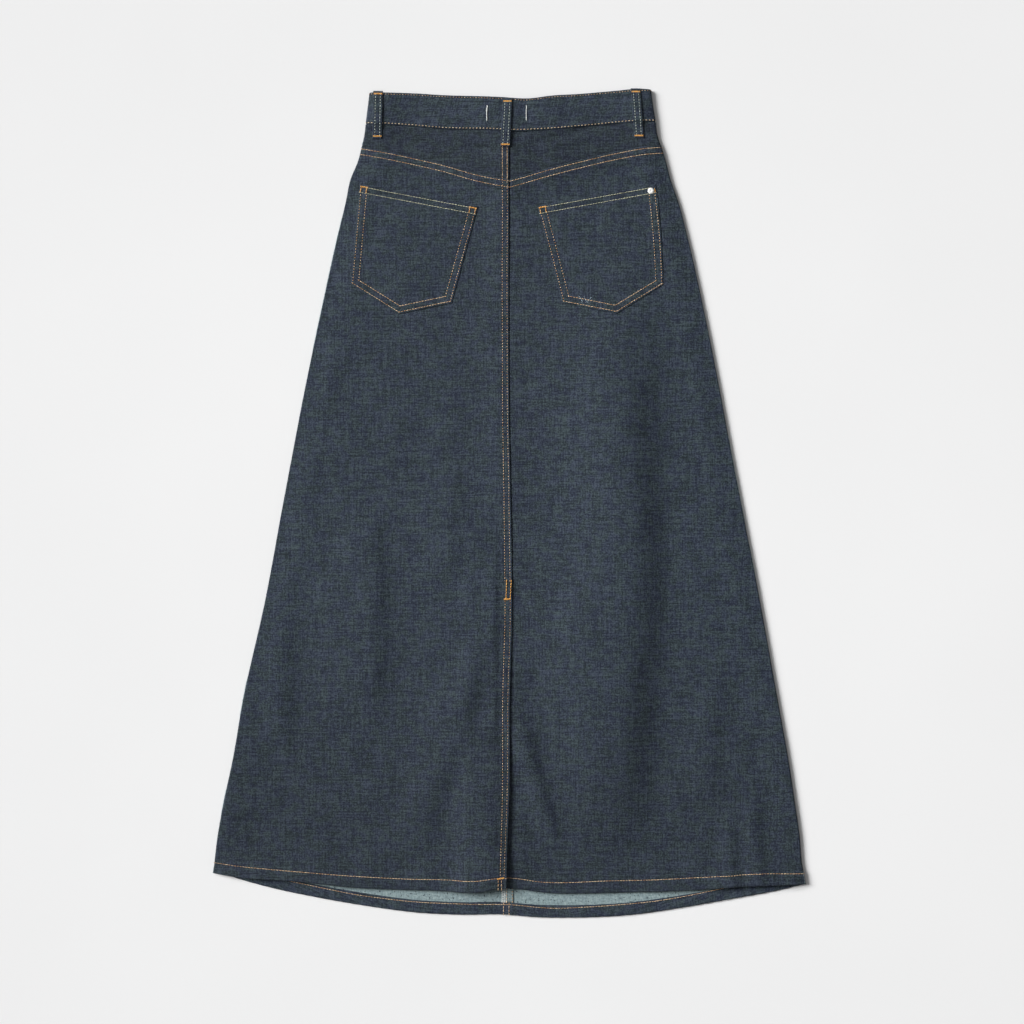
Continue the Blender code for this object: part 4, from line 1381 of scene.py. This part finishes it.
# %% Sewing along rows
Thread = namedtuple("Thread", "pitch length radius rise turn unevenness")
TOPSTITCH = Thread(STITCH, 2.95, 0.33, 0.4, 0.0, 0.07)
MOUTH = Thread(STITCH, 3.1, 0.36, 0.42, 0.0, 0.06)
UPRIGHT = Thread(STITCH, 1.4, 0.42, 0.5, 0.0, 0.08)
SUNKEN = Thread(STITCH, 1.3, 0.34, 0.3, 0.0, 0.08)
BEADED = Thread(3.86, 1.95, 0.46, 0.55, 0.0, 0.1)
DOTTED = Thread(STITCH, 1.6, 0.46, 0.55, 0.0, 0.1)
HEAVY = Thread(STITCH, 2.9, 0.48, 0.5, 0.0, 0.12)
BARTACK = Thread(0.42, 1.9, 0.24, 0.6, math.pi / 2, 0.1)
POCKET_TACK = Thread(0.42, 1.5, 0.24, 0.5, math.pi / 2, 0.1)
SIDE_BIT = Thread(0.42, 0.9, 0.2, 0.4, math.pi / 2, 0.1)
RUNG = Thread(2.0, 3.1, 0.36, 0.25, math.pi / 2, 0.12)
LOOPER = Thread(1.6, 2.1, 0.3, 0.22, 0.0, 0.25)


def on_surface(surface, x, y, face=1.0):
    """A row of points on a surface, with the direction away from the cloth at each."""
    x, y = np.broadcast_arrays(np.asarray(x, float), np.asarray(y, float))
    step = 0.4
    slope_x = (surface(x + step, y) - surface(x - step, y)) / (2 * step)
    slope_y = (surface(x, y + step) - surface(x, y - step)) / (2 * step)
    up = np.stack((-slope_x, -slope_y, np.ones_like(x)), axis=-1) * face
    return np.stack((x, y, surface(x, y)), axis=-1), up / np.linalg.norm(up, axis=-1, keepdims=True)


def sew(name, rows, thread, material, seed, sink=0.0):
    """One piece of sewing: the stitch tree run on rows of points."""
    verts, ups, edges = [], [], []
    for points, up in rows:
        edges += [(len(verts) + k, len(verts) + k + 1) for k in range(len(points) - 1)]
        verts += ((points - up * sink) * MM).tolist()
        ups += up.tolist()
    path = bpy.data.meshes.new(name + "_path")
    path.from_pydata(verts, edges, [])
    path.attributes.new("up", "FLOAT_VECTOR", "POINT").data.foreach_set("vector", np.ravel(ups))
    holder = add_object(name + "_path", path)
    modifier = holder.modifiers.new("stitches", "NODES")
    modifier.node_group = stitches
    in_metres = [size * MM for size in thread[:4]]
    values = dict(zip(STITCH_INPUTS, [*in_metres, thread.turn, thread.unevenness, seed, material]))
    for socket in stitches.interface.items_tree:
        if socket.name in values:
            modifier[socket.identifier] = values[socket.name]
    seen = holder.evaluated_get(bpy.context.evaluated_depsgraph_get())
    mesh = bpy.data.meshes.new_from_object(seen)
    mesh.name = name
    mesh.materials.clear()
    mesh.materials.append(material)
    mesh.polygons.foreach_set("material_index", [0] * len(mesh.polygons))
    mesh.shade_smooth()
    holder.modifiers.remove(modifier)
    bpy.data.objects.remove(holder)
    print(f"{name}: {len(mesh.polygons)} faces")
    return add_object(name, mesh)


def spaced(start, end, step=3.0):
    return np.linspace(start, end, max(3, int(abs(end - start) / step) + 1))


# %% Rows on the back panels and yokes
def rolled(surface):
    """A back surface with its side folds, for rows that run up to them."""

    def height(x, y):
        radius = np.minimum(BACK_ROLL, side_top(y) - SIDE_SEAM - 0.1)
        return surface(x, y) - side_roll(np.maximum(inset_of(x, y), 0.0), radius)

    return height


def centre_row(surface, bottom, top, from_edge):
    y = spaced(bottom, top)
    return on_surface(surface, back_centre(y) - from_edge(y) + 0.12 * np.sin(y / 23.0), y)


def yoke_rows(surface, start, end, lower=0.0):
    x = spaced(start, end)
    return [on_surface(rolled(surface), x, yoke_seam(x) - d - lower) for d in (ROW_NEAR, ROW_FAR)]


def hem_row(surface, start, end):
    x = spaced(start, end)
    return [on_surface(rolled(surface), x, back_hem(x) + BACK_ROW(x))]


side_gap = 1.6
SEWN_AGAIN = (-109.0, -89.0)  # where the vent's top was sewn a second time, in place of the first
left_rows = yoke_rows(left_back_surface, float(left_side(400.0)) + side_gap, -2.0)
left_rows += hem_row(left_back_surface, float(left_side(-410.0)) + side_gap, -4.0)
seam_spans = ((-426.5, SEWN_AGAIN[0]), (SEWN_AGAIN[1], float(yoke_seam(-4.0)) - 1.0))
centre_far = [centre_row(left_back_surface, *span, ROW_FAR_AT) for span in seam_spans]
centre_near = [centre_row(left_back_surface, *span, ROW_NEAR_AT) for span in seam_spans]
right_rows = yoke_rows(right_back_surface, 1.0, float(right_side(400.0)) - side_gap, lower=0.45)
right_rows += hem_row(right_back_surface, -UNDERLAP + 2.0, float(right_side(-420.0)) - side_gap)
yoke_top = float(back_waist_seam(0.0)) - 0.5
sew("topstitching_back_left", left_rows, TOPSTITCH, ochre_thread, 11)
sew("topstitching_back_centre", centre_far, UPRIGHT, ochre_thread, 15)
sew("topstitching_back_centre_edge", centre_near, SUNKEN, ochre_thread, 17)
sew("topstitching_back_right", right_rows, TOPSTITCH, ochre_thread, 12)
yoke_span = (float(yoke_seam(0.0)) + 1.5, yoke_top)
on_yoke = [centre_row(yoke_surface_left, *yoke_span, row) for row in (ROW_FAR_AT, ROW_NEAR_AT)]
sew("topstitching_yoke_left", on_yoke, TOPSTITCH, ochre_thread, 13)

# %% Rows of the waistband, all round
seam_row, edge_row = [(band[row][2:-2], band_normal[row][2:-2]) for row in (3, -5)]
sew("topstitching_waistband", [seam_row], BEADED, tan_thread, 14, sink=0.05)
sew("topstitching_waist_edge", [edge_row], SUNKEN, ochre_thread, 16)

# %% [markdown]
# ## Pocket stitching, bartacks and belt loops
#
# A pocket's rows follow its outline at two distances, so an outline moved inwards gives both. At
# the places that take strain, a machine sews a bartack: a few threads along and many across them.
# It is the same stitch tree with the stitch turned across its path and a very short pitch.


# %% Pocket stitching
def moved_in(corners, distance):
    """An open line of corners moved to its left by a distance, its ends kept square."""
    ways = [(b - a) / np.linalg.norm(b - a) for a, b in zip(corners, corners[1:])]
    sides = [np.array((-w[1], w[0])) for w in ways]
    moved = [corners[0] + sides[0] * distance]
    for k in range(1, len(ways)):
        bisector = sides[k - 1] + sides[k]
        moved.append(corners[k] + bisector * distance * 2 / (bisector @ bisector))
    return [*moved, corners[-1] + sides[-1] * distance]


def along_corners(corners, step=2.5):
    """Points along a line of corners; the corners themselves are kept."""
    runs = []
    for a, b in zip(corners, corners[1:]):
        count = max(2, int(np.linalg.norm(b - a) / step))
        runs.append(a + (b - a) * np.linspace(0, 1, count, endpoint=False)[:, None])
    return np.concatenate((*runs, [corners[-1]]))


def between_points(surface, a, b, count=12):
    place = np.array(a) + (np.array(b) - np.array(a)) * np.linspace(0, 1, count)[:, None]
    return on_surface(surface, place[:, 0], place[:, 1])


MOUTH_NEAR, MOUTH_FAR = 3.1, 9.4


def sew_pocket(pocket, seed):
    surface = pocket_surface(pocket)
    left_top, left_low, point, right_low, right_top = pocket_outline(pocket)
    mouth = (right_top - left_top) / np.linalg.norm(right_top - left_top)
    down = np.array((mouth[1], -mouth[0]))
    riveted = pocket.name == "pocket_right"
    right_start = MOUTH_NEAR + (3.0 if riveted else 0.0)
    outline = [left_top + down * MOUTH_NEAR, left_low, point, right_low, right_top + down * right_start]

    def sewn(corners):
        line = along_corners(corners)
        share = (line[:, 0] - left_top[0]) / (right_top[0] - left_top[0])
        up = np.clip((line[:, 1] - 228.0) / 120.0, 0.0, 1.0)
        line[:, 0] += pocket.bow * np.clip(share, 0.0, 1.0) * 4 * up * (1 - up)
        return on_surface(surface, line[:, 0], line[:, 1])

    rows = [moved_in(outline, distance) for distance in (ROW_NEAR, ROW_FAR)]
    sides = [sewn(row[part]) for row in rows for part in (slice(0, 2), slice(3, 5))]
    sew(f"topstitching_{pocket.name}", sides, UPRIGHT, ochre_thread, seed)
    sew(f"point_stitching_{pocket.name}", [sewn(row[1:4]) for row in rows], TOPSTITCH, ochre_thread, seed + 4)
    mouth_rows = []
    for low, gap in ((MOUTH_NEAR, ROW_FAR), (MOUTH_FAR, ROW_NEAR)):
        ends = (left_top + down * low + mouth * gap, right_top + down * low - mouth * gap)
        mouth_rows.append(between_points(surface, *ends, 40))
    sew(f"mouth_stitching_{pocket.name}", mouth_rows, MOUTH, khaki_thread, seed + 1)
    tacks, bits = [], []
    for corner, inwards in ((left_top, mouth), (right_top, -mouth)):
        hidden = riveted and corner is right_top
        start = corner + down * (MOUTH_NEAR - 0.4) + inwards * 1.4
        if not hidden:
            tacks.append(between_points(surface, start, start + inwards * 8.6))
        for d in (ROW_NEAR, ROW_FAR):
            top = corner + inwards * d + down * (MOUTH_NEAR + (1.5 if hidden else 0.0))
            bits.append(between_points(surface, top, top + down * (4.6 if hidden else 6.4)))
    sew(f"bartack_{pocket.name}", tacks, POCKET_TACK, orange_thread, seed + 2)
    sew(f"bartack_ends_{pocket.name}", bits, SIDE_BIT, orange_thread, seed + 3)


for number, pocket in enumerate(POCKETS):
    sew_pocket(pocket, 21 + 10 * number)


# %% Belt-loop stitching and bartacks
def sew_loop(loop, seed):
    length = loop.y_high - loop.y_low
    up = np.array([0.0, 0.0, 1.0])
    rows = []
    for side in (-LOOP_ROW, LOOP_ROW):
        line = loop_points(loop, np.full(24, side), np.linspace(0.07, 0.93, 24))
        rows.append((line, np.tile(up, (len(line), 1))))
    sew(f"stitching_{loop.name}", rows, DOTTED, grey_thread, seed)
    tacks = []
    for at in (loop.tack_low / length, 1 - loop.tack_high / length):
        line = loop_points(loop, np.linspace(-4.6, 4.6, 14), np.full(14, at))
        tacks.append((line, np.tile(up, (len(line), 1))))
    sew(f"bartacks_{loop.name}", tacks, BARTACK, orange_thread, seed + 1)


for number, loop in enumerate(LOOPS):
    sew_loop(loop, 41 + 10 * number)

# %% Bartacks and second sewing at the vent
vent_tack = between_points(left_back_surface, (-6.3, -110.0), (0.5, -109.5))
hem_tack = between_points(left_back_surface, (-13.9, -427.8), (-6.3, -426.6))
sew("bartacks_vent", [vent_tack, hem_tack], BARTACK, orange_thread, 71)
y = spaced(*SEWN_AGAIN)
again = [on_surface(left_back_surface, back_centre(y) - near - (y - SEWN_AGAIN[1]) * lean, y)
         for near, lean in ((0.75, -0.06), (6.0, -0.045))]  # fmt: skip
sew("second_sewing_vent", again, HEAVY, orange_thread, 72)
y = spaced(-430.5, -439.0)
below_tack = [on_surface(left_back_surface, x + 0 * y, y) for x in (-12.8, -9.1)]
sew("topstitching_vent_end", below_tack, TOPSTITCH, ochre_thread, 73)

# %% [markdown]
# ## Sewing inside the front
#
# Past the back's hem the inside of the front shows: the raw edge of the centre seam, bound with an
# overlock's white threads, with the seam's two rows coming through, and the hem's single row.


# %% Rows and overlocking on the front
def hem_face(x, y):
    """The right side of the front's hem, which is turned up and faces the back."""
    return front_outside(x, y) + 2 * HEM_TURN


def strip_face(x, y):
    """The upper side of the seam allowance, the wrong side of its cloth."""
    return allowance_surface(x, y) + CLOTH


def front_rows(half):
    ends = (float(left_side(-420.0)) + side_gap, FRONT_CENTRE - 0.5)
    if half == "right":
        ends = (FRONT_CENTRE + 0.5, float(right_side(-430.0)) - side_gap)
    x = spaced(*ends)
    row_y = front_hem(x) + FRONT_ROW(x)
    rows = [on_surface(hem_face, x, row_y), on_surface(front_outside, x, row_y, face=-1.0)]
    if half == "left":
        y = spaced(float(front_hem(0.0)) + 0.8, float(front_hem(0.0)) + FRONT_HEM_DEPTH)
        rows += [on_surface(hem_face, at + 0 * y, y) for at in (-6.8, -0.5)]
        y = spaced(float(front_hem(0.0)) + 1.0, float(front_waist_seam(0.0)) - 1.0)
        rows += [on_surface(front_outside, at + 0 * y, y, face=-1.0) for at in (-3.3, 3.3)]
    return rows


sew("topstitching_front_left", front_rows("left"), TOPSTITCH, ochre_thread, 81, sink=0.05)
sew("topstitching_front_right", front_rows("right"), TOPSTITCH, ochre_thread, 82, sink=0.05)

y = spaced(ALLOWANCE_LOW + 0.6, float(front_waist_seam(FRONT_CENTRE)) - 4.0)
strip_left = FRONT_CENTRE - ALLOWANCE_WIDTH
through = [on_surface(strip_face, at + 0 * y, y) for at in (-3.3, 3.3)]
sew("topstitching_front_allowance", through, BEADED, ochre_thread, 83)
rungs = [on_surface(strip_face, strip_left + 1.7 + 0 * y, y)]
sew("overlock_rungs", rungs, RUNG, white_thread, 84)
edges = [on_surface(strip_face, strip_left + at + 0 * y, y) for at in (0.25, 3.2)]
edges.append(on_surface(strip_face, -3.9 + 0 * y, y))
sew("overlock_loopers", edges, LOOPER, white_thread, 85)


# %% Label tacks and loose thread ends
def thread_end(name, line, radius, material, seed):
    """A single thread along a line of (x, y, height above the cloth) points."""
    surface, places = line
    places = np.array(places)
    t = np.linspace(0, len(places) - 1, 6 * len(places))
    x, y, lift = (np.interp(t, np.arange(len(places)), places[:, k]) for k in range(3))
    points, up = on_surface(surface, x, y)
    points = points + up * (lift[:, None] + radius * 0.5)
    total = float(np.linalg.norm(np.diff(points, axis=0), axis=1).sum())
    kind = Thread(total / 9, total / 9 * 1.3, radius, 0.02, 0.0, 0.02)
    return sew(name, [(points, up)], kind, material, seed)


TACKS = {
    "label_tack_left": ([(-25.3, 451.6, 0.2), (-25.9, 444.0, 0.6), (-25.7, 436.2, 0.2)], 0.55),
    "label_tack_left_end": ([(-24.9, 451.0, 0.3), (-26.0, 449.0, 0.9), (-26.6, 446.2, 0.3)], 0.4),
    "label_tack_right": ([(19.4, 451.9, 0.2), (19.1, 444.0, 0.5), (19.3, 436.6, 0.2)], 0.42),
}
for number, (name, (line, radius)) in enumerate(TACKS.items()):
    thread_end(name, (band_surface, line), radius, white_thread, 91 + number)
right_pocket = pocket_surface(POCKETS[1])
LOOSE = [
    ([(82.2, 231.2, 0.3), (83.0, 230.2, 0.6), (83.9, 229.4, 0.2)], 0.3),
    ([(79.6, 235.8, 0.1), (81.9, 232.0, 0.5), (82.8, 227.6, 0.2)], 0.15),
    ([(92.9, 233.9, 0.1), (90.8, 230.6, 0.5), (87.1, 228.8, 0.2)], 0.15),
    ([(85.2, 235.0, 0.1), (86.6, 231.1, 0.4), (90.7, 227.1, 0.1)], 0.12),
    ([(102.9, 222.0, 0.2), (103.9, 222.6, 0.5), (104.9, 222.4, 0.2)], 0.2),
]
for number, (line, radius) in enumerate(LOOSE):
    thread_end(f"loose_thread_{number + 1}", (right_pocket, line), radius, pale_blue_thread, 95 + number)

# %% [markdown]
# ## Rivet and button
#
# The rivet is a turned part: a low dome with a small dimple where its nail was struck. A profile
# and the Spin operator of bmesh make it. The button lies hidden between the laps of the waistband,
# so the model's own turned shape is kept and only gets its metal.


# %% Rivet and button
def turned_part(name, profile, centre, tilt, material, steps=40):
    """Spins a profile of (radius, height) points, in millimetres, about its own axis."""
    work = bmesh.new()
    verts = [work.verts.new((r * MM, 0.0, h * MM)) for r, h in profile]
    edges = [work.edges.new(pair) for pair in zip(verts, verts[1:])]
    bmesh.ops.spin(
        work, geom=verts + edges, cent=(0, 0, 0), axis=(0, 0, 1), angle=2 * math.pi, steps=steps
    )
    bmesh.ops.remove_doubles(work, verts=work.verts, dist=1e-6)
    bmesh.ops.recalc_face_normals(work, faces=work.faces)
    bmesh.ops.transform(work, matrix=tilt, verts=work.verts)
    bmesh.ops.translate(work, vec=centre, verts=work.verts)
    mesh = bpy.data.meshes.new(name)
    work.to_mesh(mesh)
    work.free()
    mesh.materials.append(material)
    mesh.shade_smooth()
    return add_object(name, mesh)


RIVET_X, RIVET_Y = 161.1, 355.8
RIVET_PROFILE = [
    (0.0, 0.75), (0.45, 0.78), (0.8, 0.96), (1.2, 1.16), (1.8, 1.18), (2.6, 0.98), (3.2, 0.62),
    (3.55, 0.25), (3.6, -0.1), (3.4, -0.35), (0.0, -0.35),
]  # fmt: skip
place, up = on_surface(right_pocket, np.array([RIVET_X]), np.array([RIVET_Y]))
tilt = Vector(up[0]).to_track_quat("Z", "Y").to_matrix().to_4x4()
turned_part("rivet_cap", RIVET_PROFILE, Vector(place[0] * MM), tilt, white_enamel)
button = bpy.data.objects["waist_button"]
button.data.materials.clear()
button.data.materials.append(nickel)

# %% [markdown]
# ## Floor, light and camera
#
# The skirt lies on a pale floor under one broad, soft light from the left. A weak one from the
# right and a little light from all round fill the shadows. The camera looks straight down with a
# long lens, as for a flat lay.


# %% Floor
def floor_material():
    """Matt painted board: nearly white, with a faint unevenness and no shine."""
    made, tree, shader = new_material("pale_painted_board")
    pale = colour_steps(tree, object_noise(tree, 3.0), [(0.3, "#E6E6E6"), (0.7, "#E8E8E8")])
    tree.links.new(pale, shader.inputs["Base Color"])
    shader.inputs["Roughness"].default_value = 0.9
    shader.inputs["Specular IOR Level"].default_value = 0.1
    return made


FLOOR_HALF = 3.0
mesh = bpy.data.meshes.new("floor")
corners = [(-FLOOR_HALF, -FLOOR_HALF, 0), (FLOOR_HALF, -FLOOR_HALF, 0), (FLOOR_HALF, FLOOR_HALF, 0)]
mesh.from_pydata([*corners, (-FLOOR_HALF, FLOOR_HALF, 0)], [], [(0, 1, 2, 3)])
mesh.materials.append(floor_material())
floor = add_object("floor", mesh)
floor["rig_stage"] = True


# %% Light
def far_light(name, colour, strength, angle, elevation, azimuth):
    """A broad light far away; azimuth is where it comes from, counted from +X."""
    data = bpy.data.lights.new(name, "SUN")
    data.color = linear(colour)[:3]
    data.energy = strength
    data.angle = math.radians(angle)
    made = add_object(name, data)
    turn, up = math.radians(azimuth), math.radians(elevation)
    towards = Vector((math.cos(up) * math.cos(turn), math.cos(up) * math.sin(turn), math.sin(up)))
    made.rotation_euler = towards.to_track_quat("Z", "Y").to_euler()
    return made


far_light("key", "#FFFFFF", strength=5.05, angle=30.0, elevation=33.0, azimuth=158.0)
far_light("fill", "#FFFFFF", strength=0.2, angle=60.0, elevation=30.0, azimuth=-15.0)
data = bpy.data.lights.new("overhead", "AREA")
data.shape = "DISK"
data.size = 0.9
data.energy = 3.0
overhead = add_object("overhead", data)
overhead.location = (-0.12, 0.0, 1.5)
world = bpy.data.worlds.new("studio")
world.use_nodes = True
world.node_tree.nodes["Background"].inputs["Color"].default_value = linear("#F7F7F9")
world.node_tree.nodes["Background"].inputs["Strength"].default_value = 0.09
bpy.context.scene.world = world
bpy.context.scene.view_settings.view_transform = "Standard"

# %% Camera
camera_data = bpy.data.cameras.new("camera")
camera_data.lens = 85.0
camera_data.sensor_width = 36.0
camera = add_object("camera", camera_data)
camera.location = (0.00285, -0.01026, 2.7625)
bpy.context.scene.camera = camera

# %% [markdown]
#
# Every piece rides on the model's one body. Shells take the place of their solids, and each sheet
# says how large it was cut, measured on its own grid.


# %% Bodies, solids and sheets
PANELS = ("back_left", "back_right", "front_left", "front_right")
SINGLE = ("yoke_left", "yoke_right", "waistband", "pocket_left", "pocket_right")
SINGLE += ("belt_loop_left", "belt_loop_centre", "belt_loop_right")
STANDS_FOR = {f"denim_{panel}": [panel, f"hem_{panel}"] for panel in PANELS}
STANDS_FOR |= {f"denim_{node}": [node] for node in SINGLE}
STANDS_FOR |= {"denim_front_allowance": ["front_seam_allowance"], "rivet_cap": ["pocket_rivet"]}
for piece in list(bpy.context.scene.collection.all_objects):
    is_new = piece.type == "MESH" and "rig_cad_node" not in piece and not piece.get("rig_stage")
    if not is_new:
        continue
    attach(piece, "root")
    if piece.name in STANDS_FOR:
        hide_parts(*STANDS_FOR[piece.name])
    if "cut_size" in piece:
        tuple(piece["cut_size"])
